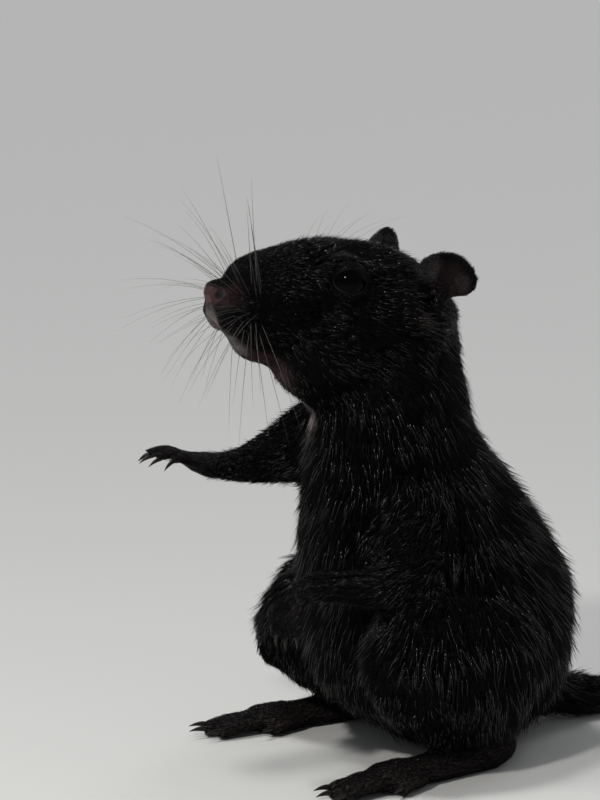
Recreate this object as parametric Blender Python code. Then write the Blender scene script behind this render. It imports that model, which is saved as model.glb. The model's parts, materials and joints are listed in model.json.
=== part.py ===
"""A black Mongolian gerbil sitting up on its haunches, life size.

The animal faces -Y, its left side is +X, and it rests on the floor at Z = 0 on its
hind feet, rump and tail. The solids reach out to the tips of the coat. The body is
modelled whole, from lofted masses, and then parted by thin cuts into named lengths.
"""
import math

import bmesh
import bpy
from mathutils import Matrix, Vector

MM = 0.001
GAP = 0.3 * MM
SLIVER = 0.02 * MM

NECK_HEIGHT = 47.5 * MM
EYE_LEVEL = 25.0 * MM
EYE_FORWARD = 8.6 * MM
HEAD_TURN = math.radians(-10.0)
HEAD_PITCH = math.radians(13.0)
HEAD_TILT = math.radians(2.0)
SNOUT_LENGTH = 17.2 * MM
SKULL_LENGTH = 19.0 * MM
EYE_RADIUS = 2.7 * MM
EYE_SIDE = 7.4 * MM
EAR_RADIUS = 5.4 * MM
EAR_THICKNESS = 1.1 * MM
EAR_DEPTH = 2.2 * MM
EAR_REAR_TRIM = 0.60
EAR_RINGS = 3
EAR_SIDES = 18

THIGH_RADII = (8.8 * MM, 15.5 * MM, 13.0 * MM)
THIGH_CENTRE = (15.0 * MM, 3.0 * MM, 17.0 * MM)
FOOT_HEEL = (16.0 * MM, 9.0 * MM)
FOOT_BALL = (17.8 * MM, -11.0 * MM)
FOOT_THICKNESS = 4.6 * MM
TOE_RADIUS = 1.15 * MM
FINGER_RADIUS = 0.85 * MM
HIND_CLAW = 2.6 * MM
FORE_CLAW = 1.9 * MM
CLAW_RADIUS = 0.55 * MM

TAIL_LENGTH = 98.0 * MM
TAIL_BASE_RADIUS = 3.3 * MM
TAIL_ROOT_FLARE = 4.2 * MM
TAIL_MID_RADIUS = 2.5 * MM
TAIL_TUFT_RADIUS = 3.7 * MM
TAIL_PIECES = 5
TAIL_START = Vector((0.0, 24.0 * MM, 8.0 * MM))
TAIL_TURN = math.radians(105.0)

VOXEL = 0.5 * MM
SMOOTHING = 7
BODY_TRIANGLES = 2700
RING_SIDES = 24
LOFT_STEPS = 4
ROUND_END = (0, 30, 55, 75)
FLAT_END = (0,)
SIDES = {"left": 1.0, "right": -1.0}


def plain(name, color, roughness):
    material = bpy.data.materials.new(name)
    material.use_nodes = True
    shader = material.node_tree.nodes["Principled BSDF"]
    shader.inputs["Base Color"].default_value = (*color, 1.0)
    shader.inputs["Roughness"].default_value = roughness
    material.diffuse_color = (*color, 1.0)
    return material


def black_fur():
    return plain("black_fur", (0.02, 0.02, 0.022), 0.55)


def bare_skin():
    return plain("bare_skin", (0.20, 0.13, 0.13), 0.6)


def black_eye():
    return plain("black_eye", (0.004, 0.004, 0.005), 0.05)


def dark_claw():
    return plain("dark_claw", (0.06, 0.05, 0.045), 0.35)


def clear_scene():
    for item in list(bpy.data.objects):
        bpy.data.objects.remove(item, do_unlink=True)


def add_object(name, bm):
    """Make a bmesh an object with its faces turned outwards."""
    bmesh.ops.recalc_face_normals(bm, faces=bm.faces)
    mesh = bpy.data.meshes.new(name)
    bm.to_mesh(mesh)
    bm.free()
    item = bpy.data.objects.new(name, mesh)
    bpy.context.scene.collection.objects.link(item)
    return item


def apply_modifiers(item):
    """Replace an object's mesh by its evaluated one."""
    bpy.context.view_layer.update()
    graph = bpy.context.evaluated_depsgraph_get()
    mesh = bpy.data.meshes.new_from_object(item.evaluated_get(graph))
    old = item.data
    item.modifiers.clear()
    item.data = mesh
    bpy.data.meshes.remove(old)


def curve_through(values, place):
    """Catmull-Rom value at place, which counts stations from 0."""
    last = len(values) - 1
    index = min(int(place), last - 1)
    t = place - index
    before = values[max(index - 1, 0)]
    start = values[index]
    end = values[index + 1]
    after = values[min(index + 2, last)]
    return 0.5 * (2.0 * start + (end - before) * t
                  + (2.0 * before - 5.0 * start + 4.0 * end - after) * t * t
                  + (3.0 * start - before - 3.0 * end + after) * t * t * t)


def loft(bm, stations, side, sides=RING_SIDES, steps=LOFT_STEPS, ends=ROUND_END):
    """Skin a closed rounded mass over stations of (centre, half width, half depth).

    The half width lies along side, and the half depth across it and the path. The ends
    are domes with a ring at each of the angles given.
    """
    count = (len(stations) - 1) * steps + 1
    centres = [Vector(s[0]) for s in stations]
    widths = [s[1] for s in stations]
    depths = [s[2] for s in stations]
    path = [curve_through(centres, i / steps) for i in range(count)]
    rings = []
    for i, centre in enumerate(path):
        ahead = path[min(i + 1, count - 1)]
        behind = path[max(i - 1, 0)]
        along = (ahead - behind).normalized()
        across = (side - along * side.dot(along)).normalized()
        up = along.cross(across)
        width = curve_through(widths, i / steps)
        depth = curve_through(depths, i / steps)
        domes = [(0.0, 1.0)]
        if i in (0, count - 1):
            outward = -1.0 if i == 0 else 1.0
            reach = min(width, depth) * outward
            domes = [(reach * math.sin(math.radians(a)), math.cos(math.radians(a)))
                     for a in ends]
        if i == 0:
            domes.reverse()
        for offset, scale in domes:
            ring = []
            for k in range(sides):
                angle = 2.0 * math.pi * k / sides
                ring.append(bm.verts.new(centre + along * offset
                                         + across * (width * scale * math.cos(angle))
                                         + up * (depth * scale * math.sin(angle))))
            rings.append(ring)
    for low, high in zip(rings, rings[1:]):
        for k in range(sides):
            bm.faces.new((low[k], low[(k + 1) % sides], high[(k + 1) % sides], high[k]))
    bm.faces.new(reversed(rings[0]))
    bm.faces.new(rings[-1])


def ellipsoid(bm, centre, radii, turn=None, subdivisions=3):
    place = Matrix.Translation(centre) @ (turn or Matrix.Identity(4))
    bmesh.ops.create_icosphere(bm, subdivisions=subdivisions, radius=1.0,
                               matrix=place @ Matrix.Diagonal((*radii, 1.0)))


def head_frame():
    """The head's own frame: X to its left, -Y along the snout, Z up, at mid-eyes."""
    turn = Matrix.Rotation(HEAD_TURN, 4, "Z")
    reach = turn @ Vector((0.0, -EYE_FORWARD, NECK_HEIGHT + EYE_LEVEL))
    nod = Matrix.Rotation(-HEAD_PITCH, 4, "X") @ Matrix.Rotation(HEAD_TILT, 4, "Y")
    return Matrix.Translation(reach) @ turn @ nod


def in_head(forward, left, up):
    """A point given in millimetres forward, left and up of the middle of the eyes."""
    return head_frame() @ Vector((left * MM, -forward * MM, up * MM))


def head_direction(forward, left, up):
    return (head_frame().to_3x3() @ Vector((left, -forward, up))).normalized()


def add_head(bm):
    """The skull with its fur: (forward, top, bottom, half width) from nose to nape."""
    outline = ((16.8, -3.8, -7.6, 2.2), (15.7, -2.0, -10.4, 3.8), (13.0, 0.5, -12.7, 5.3),
               (9.0, 2.6, -14.7, 6.6), (5.0, 4.2, -15.8, 7.8), (0.0, 5.3, -16.4, 9.1),
               (-6.0, 5.6, -17.2, 10.6), (-12.0, 3.8, -17.0, 11.2), (-16.0, 1.2, -15.2, 10.2),
               (1.0 - SKULL_LENGTH / MM, -5.5, -10.0, 4.2))
    stations = []
    for forward, top, bottom, half_width in outline:
        centre = in_head(forward, 0.0, (top + bottom) / 2.0)
        stations.append((centre, half_width * MM, (top - bottom) / 2.0 * MM))
    loft(bm, stations, head_direction(0.0, 1.0, 0.0))
    for sign in SIDES.values():
        ellipsoid(bm, in_head(12.7, 3.1 * sign, -8.3), (3.1 * MM, 4.4 * MM, 3.7 * MM),
                  head_frame().to_3x3().to_4x4())
        ellipsoid(bm, in_head(-3.0, 6.6 * sign, -9.0), (4.6 * MM, 8.5 * MM, 6.5 * MM),
                  head_frame().to_3x3().to_4x4())
        ellipsoid(bm, in_head(0.0, 5.6 * sign, 0.9), (3.2 * MM, 5.6 * MM, 3.2 * MM),
                  head_frame().to_3x3().to_4x4())
    ellipsoid(bm, in_head(8.7, 0.0, -12.4), (3.2 * MM, 4.0 * MM, 2.7 * MM),
              head_frame().to_3x3().to_4x4())
    ellipsoid(bm, in_head(0.5, 0.6, -13.6), (8.0 * MM, 8.0 * MM, 5.2 * MM),
              head_frame().to_3x3().to_4x4() @ Matrix.Rotation(math.radians(-38.0), 4, "X"))
    ellipsoid(bm, in_head(SNOUT_LENGTH / MM - 1.4, 0.0, -5.2), (2.2 * MM, 1.5 * MM, 1.9 * MM),
              head_frame().to_3x3().to_4x4())


def add_trunk(bm):
    """Neck, chest and belly: (back, height, half width, half depth) down the spine."""
    spine = ((1.5, 63.0, 10.2, 9.9), (0.3, 57.5, 11.6, 11.5), (0.4, 47.5, 13.0, 13.0),
             (2.8, 38.0, 15.8, 16.3), (6.2, 28.0, 18.9, 19.6), (9.6, 18.5, 20.8, 20.8),
             (12.0, 11.5, 18.8, 18.4), (13.0, 6.2, 15.2, 15.0), (13.4, 2.4, 11.0, 11.0),
             (13.6, -0.6, 6.5, 6.5))
    stations = [(Vector((0.0, back * MM, height * MM)), width * MM, depth * MM)
                for back, height, width, depth in spine]
    loft(bm, stations, Vector((1.0, 0.0, 0.0)), sides=32)


def foot_points(sign):
    heel = Vector((sign * FOOT_HEEL[0], FOOT_HEEL[1], FOOT_THICKNESS / 2.0 - 0.1 * MM))
    ball = Vector((sign * FOOT_BALL[0], FOOT_BALL[1], FOOT_THICKNESS / 2.0 - 0.4 * MM))
    return heel, ball


def toe_rays(sign):
    """Root and tip of the five hind toes, the middle three long."""
    heel, ball = foot_points(sign)
    forward = (ball - heel).normalized()
    outward = Vector((sign, 0.0, 0.0))
    rays = []
    for spread, reach, start in ((-1.0, 4.5, -4.5), (-0.55, 8.3, -0.5), (0.0, 9.0, 0.0),
                                 (0.55, 8.3, -0.5), (1.0, 4.0, -5.0)):
        root = ball + forward * (start * MM) + outward * (spread * 2.5 * MM)
        tip = root + forward * (reach * MM) + outward * (spread * 1.7 * MM)
        root.z = TOE_RADIUS + 0.5 * MM
        tip.z = TOE_RADIUS - 0.12 * MM
        rays.append((root, tip))
    return rays


def add_hind_leg(bm, sign):
    hip = Matrix.Rotation(math.radians(-8.0), 4, "X")
    centre = Vector((sign * THIGH_CENTRE[0], THIGH_CENTRE[1], THIGH_CENTRE[2]))
    ellipsoid(bm, centre, THIGH_RADII, hip)
    across = Vector((1.0, 0.0, 0.0))
    knee = Vector((sign * 18.0 * MM, -7.0 * MM, 15.0 * MM))
    heel, ball = foot_points(sign)
    shin = (knee + heel) / 2.0 + Vector((0.0, 0.0, 1.5 * MM))
    loft(bm, [(knee, 5.0 * MM, 6.0 * MM), (shin, 4.3 * MM, 4.6 * MM),
              (heel + Vector((0.0, 1.0 * MM, 1.0 * MM)), 2.7 * MM, 2.9 * MM)], across)
    middle = heel.lerp(ball, 0.5)
    loft(bm, [(heel, 2.2 * MM, 2.4 * MM), (middle, 2.7 * MM, FOOT_THICKNESS / 2.0),
              (ball, 3.8 * MM, FOOT_THICKNESS / 2.0 - 0.2 * MM)], across)
    for root, tip in toe_rays(sign):
        bend = root.lerp(tip, 0.55) + Vector((0.0, 0.0, 0.45 * MM))
        loft(bm, [(root, TOE_RADIUS * 1.25, TOE_RADIUS * 1.2),
                  (bend, TOE_RADIUS * 1.08, TOE_RADIUS), (tip, TOE_RADIUS, TOE_RADIUS * 0.95)],
             across, sides=14)


ARMS = {
    "right": {"shoulder": (-8.6, -4.6, 47.0), "elbow": (-11.4, -11.6, 44.0),
              "forearm": (-11.6, -17.6, 43.2), "wrist": (-11.0, -22.6, 43.7),
              "knuckles": (-10.7, -26.4, 44.8), "joint": (-10.4, -30.4, 46.7),
              "tips": (-10.2, -33.0, 46.4), "claw": (-0.05, -0.72, -0.62)},
    "left": {"shoulder": (9.5, -1.5, 41.0), "elbow": (17.0, -3.6, 30.5),
             "forearm": (14.2, -11.4, 29.2), "wrist": (9.6, -17.6, 29.6),
             "knuckles": (8.6, -20.4, 27.6), "joint": (8.0, -22.3, 24.8),
             "tips": (7.5, -22.3, 22.2), "claw": (-0.1, 0.35, -0.93)},
}


def arm_point(arm, name):
    return Vector(ARMS[arm][name]) * MM


def finger_rays(arm):
    """Knuckle, middle joint and tip of the four fingers of a forepaw."""
    rays = []
    outward = Vector((SIDES[arm], 0.0, 0.0))
    for spread, short in ((-1.0, 0.80), (-0.36, 1.0), (0.36, 1.0), (1.0, 0.84)):
        knuckle = arm_point(arm, "knuckles") + outward * (spread * 1.75 * MM)
        joint = knuckle + (arm_point(arm, "joint") - arm_point(arm, "knuckles")) * short
        tip = joint + (arm_point(arm, "tips") - arm_point(arm, "joint")) * short
        joint += outward * (spread * 1.3 * MM)
        tip += outward * (spread * 1.9 * MM)
        rays.append((knuckle, joint, tip))
    return rays


def add_foreleg(bm, arm):
    across = Vector((1.0, 0.0, 0.0))
    shoulder = arm_point(arm, "shoulder")
    elbow = arm_point(arm, "elbow")
    forearm = arm_point(arm, "forearm")
    wrist = arm_point(arm, "wrist")
    knuckles = arm_point(arm, "knuckles")
    loft(bm, [(shoulder, 5.6 * MM, 6.8 * MM), (shoulder.lerp(elbow, 0.6), 5.0 * MM, 6.0 * MM),
              (elbow, 4.4 * MM, 4.9 * MM)], across)
    loft(bm, [(elbow, 4.2 * MM, 4.7 * MM), (forearm, 2.8 * MM, 3.0 * MM),
              (wrist, 2.0 * MM, 2.0 * MM)], across)
    loft(bm, [(wrist, 2.0 * MM, 1.8 * MM), (wrist.lerp(knuckles, 0.55), 2.7 * MM, 1.8 * MM),
              (knuckles, 2.9 * MM, 1.4 * MM)], across)
    for knuckle, joint, tip in finger_rays(arm):
        loft(bm, [(knuckle, FINGER_RADIUS * 1.2, FINGER_RADIUS * 1.2),
                  (joint, FINGER_RADIUS * 1.1, FINGER_RADIUS * 1.05),
                  (tip, FINGER_RADIUS, FINGER_RADIUS)], across, sides=12)


def tail_radius(share):
    """Radius of the furred tail at a share of its length, swelling to the end tuft."""
    taper = TAIL_BASE_RADIUS + (TAIL_MID_RADIUS - TAIL_BASE_RADIUS) * min(share / 0.45, 1.0)
    taper += TAIL_ROOT_FLARE * max(0.0, 1.0 - share / 0.14) ** 2
    swell = max(0.0, math.sin(math.pi * min(max((share - 0.62) / 0.42, 0.0), 1.0)))
    return taper + (TAIL_TUFT_RADIUS - TAIL_MID_RADIUS) * swell


def tail_path(share):
    """A point on the tail's line: straight back, then round to the animal's left."""
    steps = 40
    point = Vector(TAIL_START)
    step = TAIL_LENGTH / steps
    whole = int(round(share * steps))
    for i in range(whole):
        bend = TAIL_TURN * (i / steps) ** 1.25 - math.radians(6.0)
        point += Vector((math.sin(bend), math.cos(bend), 0.0)) * step
    level = min(tail_radius(share), TAIL_TUFT_RADIUS) - 0.25 * MM
    root_lift = max(0.0, 1.0 - share / 0.16) ** 2
    point.z = level + (TAIL_START.z - level) * root_lift
    return point


def add_tail(bm):
    stations = []
    for i in range(17):
        share = i / 16
        stations.append((tail_path(share), tail_radius(share), tail_radius(share)))
    loft(bm, stations, Vector((0.0, 0.0, 1.0)), sides=16, steps=2)


def whole_body():
    """All masses joined to one closed skin, standing on flats at the floor."""
    bm = bmesh.new()
    add_head(bm)
    add_trunk(bm)
    for sign in SIDES.values():
        add_hind_leg(bm, sign)
    for arm in ARMS:
        add_foreleg(bm, arm)
    add_tail(bm)
    body = add_object("body", bm)
    remesh = body.modifiers.new("join", "REMESH")
    remesh.mode = "VOXEL"
    remesh.voxel_size = VOXEL
    smooth = body.modifiers.new("soften", "SMOOTH")
    smooth.factor = 0.5
    smooth.iterations = SMOOTHING
    apply_modifiers(body)
    thin = body.modifiers.new("thin", "DECIMATE")
    body.data.calc_loop_triangles()
    thin.ratio = BODY_TRIANGLES / len(body.data.loop_triangles)
    apply_modifiers(body)
    return body


EARS = {
    "left": {"centre": (-13.3, 10.5, 2.4), "tall": (-0.12, 0.32, 1.0),
             "facing": (0.50, 0.86, -0.10), "low_rear": -32.0},
    "right": {"centre": (-11.2, -10.4, 2.0), "tall": (-0.44, -0.32, 1.0),
              "facing": (0.64, -0.76, -0.10), "low_rear": 212.0},
}


def ear_shell(side):
    """One round pinna: a shallow bowl of even thickness, open outwards and forwards.

    The far ear is turned a little further forward. The lower rear edge runs in to the head.
    """
    tall = head_direction(*EARS[side]["tall"])
    facing = head_direction(*EARS[side]["facing"])
    facing = (facing - tall * facing.dot(tall)).normalized()
    wide = tall.cross(facing)
    centre = in_head(*EARS[side]["centre"])
    low_rear = math.radians(EARS[side]["low_rear"])
    rings = EAR_RINGS
    sides = EAR_SIDES
    bm = bmesh.new()
    layers = []
    for inner in (False, True):
        shrink = EAR_THICKNESS * 0.42 if inner else 0.0
        lift = EAR_THICKNESS if inner else 0.0
        pole = bm.verts.new(centre + facing * (lift - EAR_DEPTH))
        layer = []
        for r in range(1, rings + 1):
            share = r / rings
            ring = []
            for k in range(sides):
                angle = 2.0 * math.pi * k / sides
                height = math.sin(angle)
                reach = (EAR_RADIUS - shrink) * share
                narrow = 1.0 - 0.16 * max(0.0, -height)
                reach *= 1.0 - EAR_REAR_TRIM * max(0.0, math.cos(angle - low_rear)) ** 4
                bowl = EAR_DEPTH * (share ** 2.2 - 1.0)
                rim = lift * (1.0 - 0.55 * share ** 6)
                ring.append(bm.verts.new(centre + wide * (reach * math.cos(angle) * narrow * 0.96)
                                         + tall * (reach * height) + facing * (bowl + rim)))
            layer.append(ring)
        for k in range(sides):
            corners = [pole, layer[0][k], layer[0][(k + 1) % sides]]
            bm.faces.new(corners)
        for low, high in zip(layer, layer[1:]):
            for k in range(sides):
                bm.faces.new((low[k], low[(k + 1) % sides], high[(k + 1) % sides], high[k]))
        layers.append(layer[-1])
    outer, inner = layers
    for k in range(sides):
        bm.faces.new((outer[k], outer[(k + 1) % sides], inner[(k + 1) % sides], inner[k]))
    return add_object("pinna_" + side, bm)


def eyeball(name, side, grow=0.0):
    """A glossy ball that bulges from the side of the head."""
    bm = bmesh.new()
    centre = in_head(0.2, EYE_SIDE / MM * SIDES[side], 0.0)
    bmesh.ops.create_uvsphere(bm, u_segments=14, v_segments=8, radius=EYE_RADIUS + grow,
                              matrix=Matrix.Translation(centre))
    return add_object(name, bm)


def claw_solid(name, tip, heading, length, grow=0.0):
    """A small hooked cone set in the end of a toe."""
    bm = bmesh.new()
    drop = Vector((0.0, 0.0, -1.0))
    start = tip + heading * (0.25 * MM - grow)
    middle = tip + heading * (length * 0.5)
    end = tip + heading * (length - 0.25 * MM + grow) + drop * (length * 0.12)
    side = Vector((1.0, 0.0, 0.0))
    loft(bm, [(start, CLAW_RADIUS + grow, CLAW_RADIUS + grow),
              (middle, CLAW_RADIUS * 0.8 + grow, CLAW_RADIUS * 0.85 + grow),
              (end, CLAW_RADIUS * 0.38 + grow, CLAW_RADIUS * 0.4 + grow)], side, sides=6,
         steps=1, ends=FLAT_END)
    return add_object(name, bm)


def claw_places():
    """Name, place, heading and length of every claw."""
    places = []
    for side, sign in SIDES.items():
        for number, (root, tip) in enumerate(toe_rays(sign), 1):
            heading = tip - root
            heading.z = 0.25 * MM
            heading.normalize()
            start = tip + heading * (TOE_RADIUS * 0.55) + Vector((0.0, 0.0, 0.25 * MM))
            places.append((f"claw_hind_{side}_{number}", start, heading, HIND_CLAW))
        for number, (knuckle, joint, tip) in enumerate(finger_rays(side), 1):
            heading = Vector(ARMS[side]["claw"]).normalized()
            along = (tip - joint).normalized()
            start = tip + along * (FINGER_RADIUS * 0.45)
            places.append((f"claw_fore_{side}_{number}", start, heading, FORE_CLAW))
    return places


def block(name, centre, heading, half, grow=0.0, side=Vector((1.0, 0.0, 0.0))):
    """A box cell: half sizes are across, along heading, and square to both."""
    along = heading.normalized()
    across = (side - along * side.dot(along)).normalized()
    up = across.cross(along)
    turn = Matrix((across, along, up)).transposed().to_4x4()
    size = Matrix.Diagonal((*[2.0 * (h + grow) for h in half], 1.0))
    bm = bmesh.new()
    bmesh.ops.create_cube(bm, size=1.0, matrix=Matrix.Translation(centre) @ turn @ size)
    return add_object(name, bm)


def boolean(item, cutter, operation):
    step = item.modifiers.new("cut", "BOOLEAN")
    step.operation = operation
    step.object = cutter
    apply_modifiers(item)


def shells(bm):
    """Groups of joined faces, with the volume each encloses."""
    left = set(bm.faces)
    found = []
    while left:
        first = min(left, key=lambda face: face.index)
        left.discard(first)
        group = [first]
        for face in group:
            for edge in face.edges:
                for other in edge.link_faces:
                    if other in left:
                        left.discard(other)
                        group.append(other)
        volume = 0.0
        for face in group:
            fan = [vert.co for vert in face.verts]
            for k in range(1, len(fan) - 1):
                volume += fan[0].dot(fan[k].cross(fan[k + 1])) / 6.0
        found.append((volume, group))
    return sorted(found, key=lambda pair: -pair[0])


def tidy(item):
    """Merge slivers, make triangles and drop loose crumbs that a cut leaves."""
    bm = bmesh.new()
    bm.from_mesh(item.data)
    bmesh.ops.remove_doubles(bm, verts=bm.verts, dist=SLIVER)
    bmesh.ops.dissolve_degenerate(bm, edges=bm.edges, dist=SLIVER)
    bmesh.ops.triangulate(bm, faces=bm.faces)
    bm.faces.index_update()
    crumbs = [face for volume, group in shells(bm)[1:] for face in group]
    bmesh.ops.delete(bm, geom=crumbs, context="FACES")
    bmesh.ops.recalc_face_normals(bm, faces=bm.faces)
    bm.to_mesh(item.data)
    bm.free()


def part_off(body, name, cell, grown):
    """Cut a named length out of the body with a cell, and leave the gap round it."""
    piece = bpy.data.objects.new(name, body.data.copy())
    bpy.context.scene.collection.objects.link(piece)
    boolean(piece, cell, "INTERSECT")
    boolean(body, grown, "DIFFERENCE")
    for item in (piece, body):
        tidy(item)
    for item in (cell, grown):
        bpy.data.objects.remove(item, do_unlink=True)
    return piece


def block_cut(body, name, centre, heading, half):
    """Part off what lies in a box."""
    return part_off(body, name, block("cell", centre, heading, half),
                    block("grown", centre, heading, half, GAP))


def oval_cut(body, name, centre, radii, turn=None):
    """Part off what lies in an ellipsoid."""
    cells = []
    for grow in (0.0, GAP):
        bm = bmesh.new()
        ellipsoid(bm, Vector(centre), [r + grow for r in radii], turn, subdivisions=2)
        cells.append(add_object("cell", bm))
    return part_off(body, name, *cells)


def plane_cut(body, name, point, normal):
    """Part off everything on the side of a plane that its normal points to."""
    reach = 90.0 * MM
    centre = point + normal.normalized() * (reach + GAP / 2.0)
    return block_cut(body, name, centre, normal, (reach, reach, reach))


def cut_tail(body):
    pieces = []
    for number in range(TAIL_PIECES, 0, -1):
        share = 0.10 + 0.90 * (number - 1) / TAIL_PIECES
        point = tail_path(share)
        ahead = tail_path(min(share + 0.05, 1.0))
        heading = ahead - point
        heading.z = 0.0
        reach = 14.0 * MM
        centre = point + heading.normalized() * reach
        pieces.append(block_cut(body, f"tail_{number}", centre, heading,
                                (9.0 * MM, reach, 14.0 * MM)))
    return pieces


def cut_hind_legs(body):
    pieces = []
    for side, sign in SIDES.items():
        heel, ball = foot_points(sign)
        forward = ball - heel
        forward.z = 0.0
        centre = heel + forward * 0.5 + forward.normalized() * (3.5 * MM)
        centre.z = 1.9 * MM
        half = (5.6 * MM, forward.length / 2.0 + 9.0 * MM, 3.3 * MM)
        pieces.append(block_cut(body, "hind_foot_" + side, centre, forward, half))
        hip = Matrix.Rotation(math.radians(-8.0), 4, "X")
        thigh = Vector((sign * THIGH_CENTRE[0], THIGH_CENTRE[1], THIGH_CENTRE[2] - 1.0 * MM))
        leg = oval_cut(body, "lower_leg_" + side, thigh,
                       [r + 1.4 * MM for r in THIGH_RADII], hip)
        shin_line = Vector((sign * 18.0 * MM, -2.0 * MM, 14.0 * MM))
        pieces.append(plane_cut(leg, "thigh_" + side, shin_line, Vector((0.0, 0.45, 0.89))))
        pieces.append(leg)
    return pieces


def cut_forelegs(body):
    pieces = []
    for arm in ARMS:
        wrist = arm_point(arm, "wrist")
        hand = arm_point(arm, "joint") - wrist
        reach = 8.5 * MM
        pieces.append(block_cut(body, "forepaw_" + arm, wrist + hand.normalized() * reach, hand,
                                (6.5 * MM, reach, 6.0 * MM)))
        elbow = arm_point(arm, "elbow")
        lower = wrist - elbow
        turn = Vector((0.0, 1.0, 0.0)).rotation_difference(lower).to_matrix().to_4x4()
        pieces.append(oval_cut(body, "forearm_" + arm, elbow.lerp(wrist, 0.52),
                               (5.0 * MM, lower.length / 2.0 + 3.0 * MM, 5.0 * MM), turn))
        middle = arm_point(arm, "shoulder").lerp(elbow, 0.62)
        pieces.append(oval_cut(body, "upper_arm_" + arm, middle,
                               (6.4 * MM, 7.8 * MM, 8.2 * MM)))
    return pieces


def cut_head(body):
    """Ears, head, neck and chest come off in turn; the abdomen is what is left."""
    pieces = []
    for side, sign in SIDES.items():
        root = in_head(-13.4, 11.2 * sign, -3.0)
        outward = head_direction(0.0, 0.90 * sign, 0.44)
        reach = 8.0 * MM
        centre = root + outward * reach + head_direction(0.0, -0.44 * sign, 0.90) * (6.0 * MM)
        pieces.append(block_cut(body, "ear_" + side, centre, outward,
                                (9.5 * MM, reach, 7.0 * MM)))
    throat = Vector((0.0, -14.4 * MM, 55.0 * MM))
    pieces.append(plane_cut(body, "head", throat, Vector((0.0, -0.375, 0.927))))
    pieces.append(plane_cut(body, "neck", Vector((0.0, 0.0, 47.0 * MM)), Vector((0.0, 0.1, 1.0))))
    pieces.append(plane_cut(body, "chest", Vector((0.0, 4.0 * MM, 31.0 * MM)),
                            Vector((0.0, -0.30, 1.0))))
    return pieces


def join_cutters(items):
    """One cutter from several that don't touch."""
    bm = bmesh.new()
    for item in items:
        bm.from_mesh(item.data)
        bpy.data.objects.remove(item, do_unlink=True)
    return add_object("cutters", bm)


def stand_on_floor(body):
    """Trim the underside to flats at the floor."""
    reach = 100.0 * MM
    floor = block("floor_cut", Vector((0.0, 0.0, -reach)), Vector((0.0, 1.0, 0.0)),
                  (reach * 2.0, reach * 2.0, reach))
    boolean(body, floor, "DIFFERENCE")
    bpy.data.objects.remove(floor, do_unlink=True)


def finish(item, material):
    """Give a piece its material and smooth shading."""
    item.data.materials.clear()
    item.data.materials.append(material)
    item.data.shade_smooth()
    item.data.set_sharp_from_angle(angle=math.radians(50.0))


def centre_on_origin(pieces):
    """Shift everything so that the middle of its box stands on the origin."""
    corners = [vert.co for item in pieces for vert in item.data.vertices]
    middle_x = (min(c.x for c in corners) + max(c.x for c in corners)) / 2.0
    middle_y = (min(c.y for c in corners) + max(c.y for c in corners)) / 2.0
    shift = Matrix.Translation((-middle_x, -middle_y, 0.0))
    for item in pieces:
        item.data.transform(shift)


def build_gerbil():
    clear_scene()
    body = whole_body()
    stand_on_floor(body)
    for side in SIDES:
        pinna = ear_shell(side)
        boolean(body, pinna, "UNION")
        bpy.data.objects.remove(pinna, do_unlink=True)
    trims = [eyeball("socket_" + side, side, GAP) for side in SIDES]
    trims += [claw_solid("bed", start, heading, length, GAP)
              for name, start, heading, length in claw_places()]
    sockets = join_cutters(trims)
    boolean(body, sockets, "DIFFERENCE")
    bpy.data.objects.remove(sockets, do_unlink=True)
    tidy(body)
    flesh = cut_tail(body) + cut_hind_legs(body) + cut_forelegs(body) + cut_head(body)
    body.name = "abdomen"
    flesh.append(body)
    eyes = [eyeball("eye_" + side, side) for side in SIDES]
    claws = [claw_solid(*place) for place in claw_places()]
    coat = black_fur()
    skin = bare_skin()
    for item in flesh:
        bare = item.name.startswith(("ear", "forepaw", "hind_foot"))
        finish(item, skin if bare else coat)
    for item in eyes:
        finish(item, black_eye())
    for item in claws:
        finish(item, dark_claw())
    centre_on_origin(flesh + eyes + claws)


build_gerbil()
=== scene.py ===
import json
import math

import bpy
import numpy as np
from mathutils import Matrix, Vector
from mathutils.bvhtree import BVHTree

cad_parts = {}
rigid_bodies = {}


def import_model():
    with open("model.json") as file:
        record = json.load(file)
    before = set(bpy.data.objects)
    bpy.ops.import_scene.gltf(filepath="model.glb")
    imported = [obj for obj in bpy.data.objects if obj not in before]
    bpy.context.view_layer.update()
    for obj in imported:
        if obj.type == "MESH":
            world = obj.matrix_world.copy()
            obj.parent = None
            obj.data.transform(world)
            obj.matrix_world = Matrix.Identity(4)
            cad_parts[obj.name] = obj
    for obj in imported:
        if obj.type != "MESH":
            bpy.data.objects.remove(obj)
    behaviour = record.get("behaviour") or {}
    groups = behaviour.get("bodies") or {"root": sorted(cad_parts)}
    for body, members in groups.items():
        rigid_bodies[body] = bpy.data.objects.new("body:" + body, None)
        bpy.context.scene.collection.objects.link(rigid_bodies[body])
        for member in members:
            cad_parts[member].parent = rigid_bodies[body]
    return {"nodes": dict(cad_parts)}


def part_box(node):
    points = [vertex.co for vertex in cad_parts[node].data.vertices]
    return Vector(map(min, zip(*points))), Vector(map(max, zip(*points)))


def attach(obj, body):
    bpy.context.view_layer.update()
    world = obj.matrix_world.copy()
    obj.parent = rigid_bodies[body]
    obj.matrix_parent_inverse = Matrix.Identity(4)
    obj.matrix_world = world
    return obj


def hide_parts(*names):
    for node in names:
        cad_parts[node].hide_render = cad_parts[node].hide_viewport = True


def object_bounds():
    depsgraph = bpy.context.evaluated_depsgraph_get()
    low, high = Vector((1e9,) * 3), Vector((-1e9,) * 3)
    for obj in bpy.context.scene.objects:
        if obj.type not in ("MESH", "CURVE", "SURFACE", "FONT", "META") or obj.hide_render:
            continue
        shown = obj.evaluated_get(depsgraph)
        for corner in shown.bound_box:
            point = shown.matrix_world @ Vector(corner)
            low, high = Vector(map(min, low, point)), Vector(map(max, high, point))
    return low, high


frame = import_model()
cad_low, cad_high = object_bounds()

MM = 0.001

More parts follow.
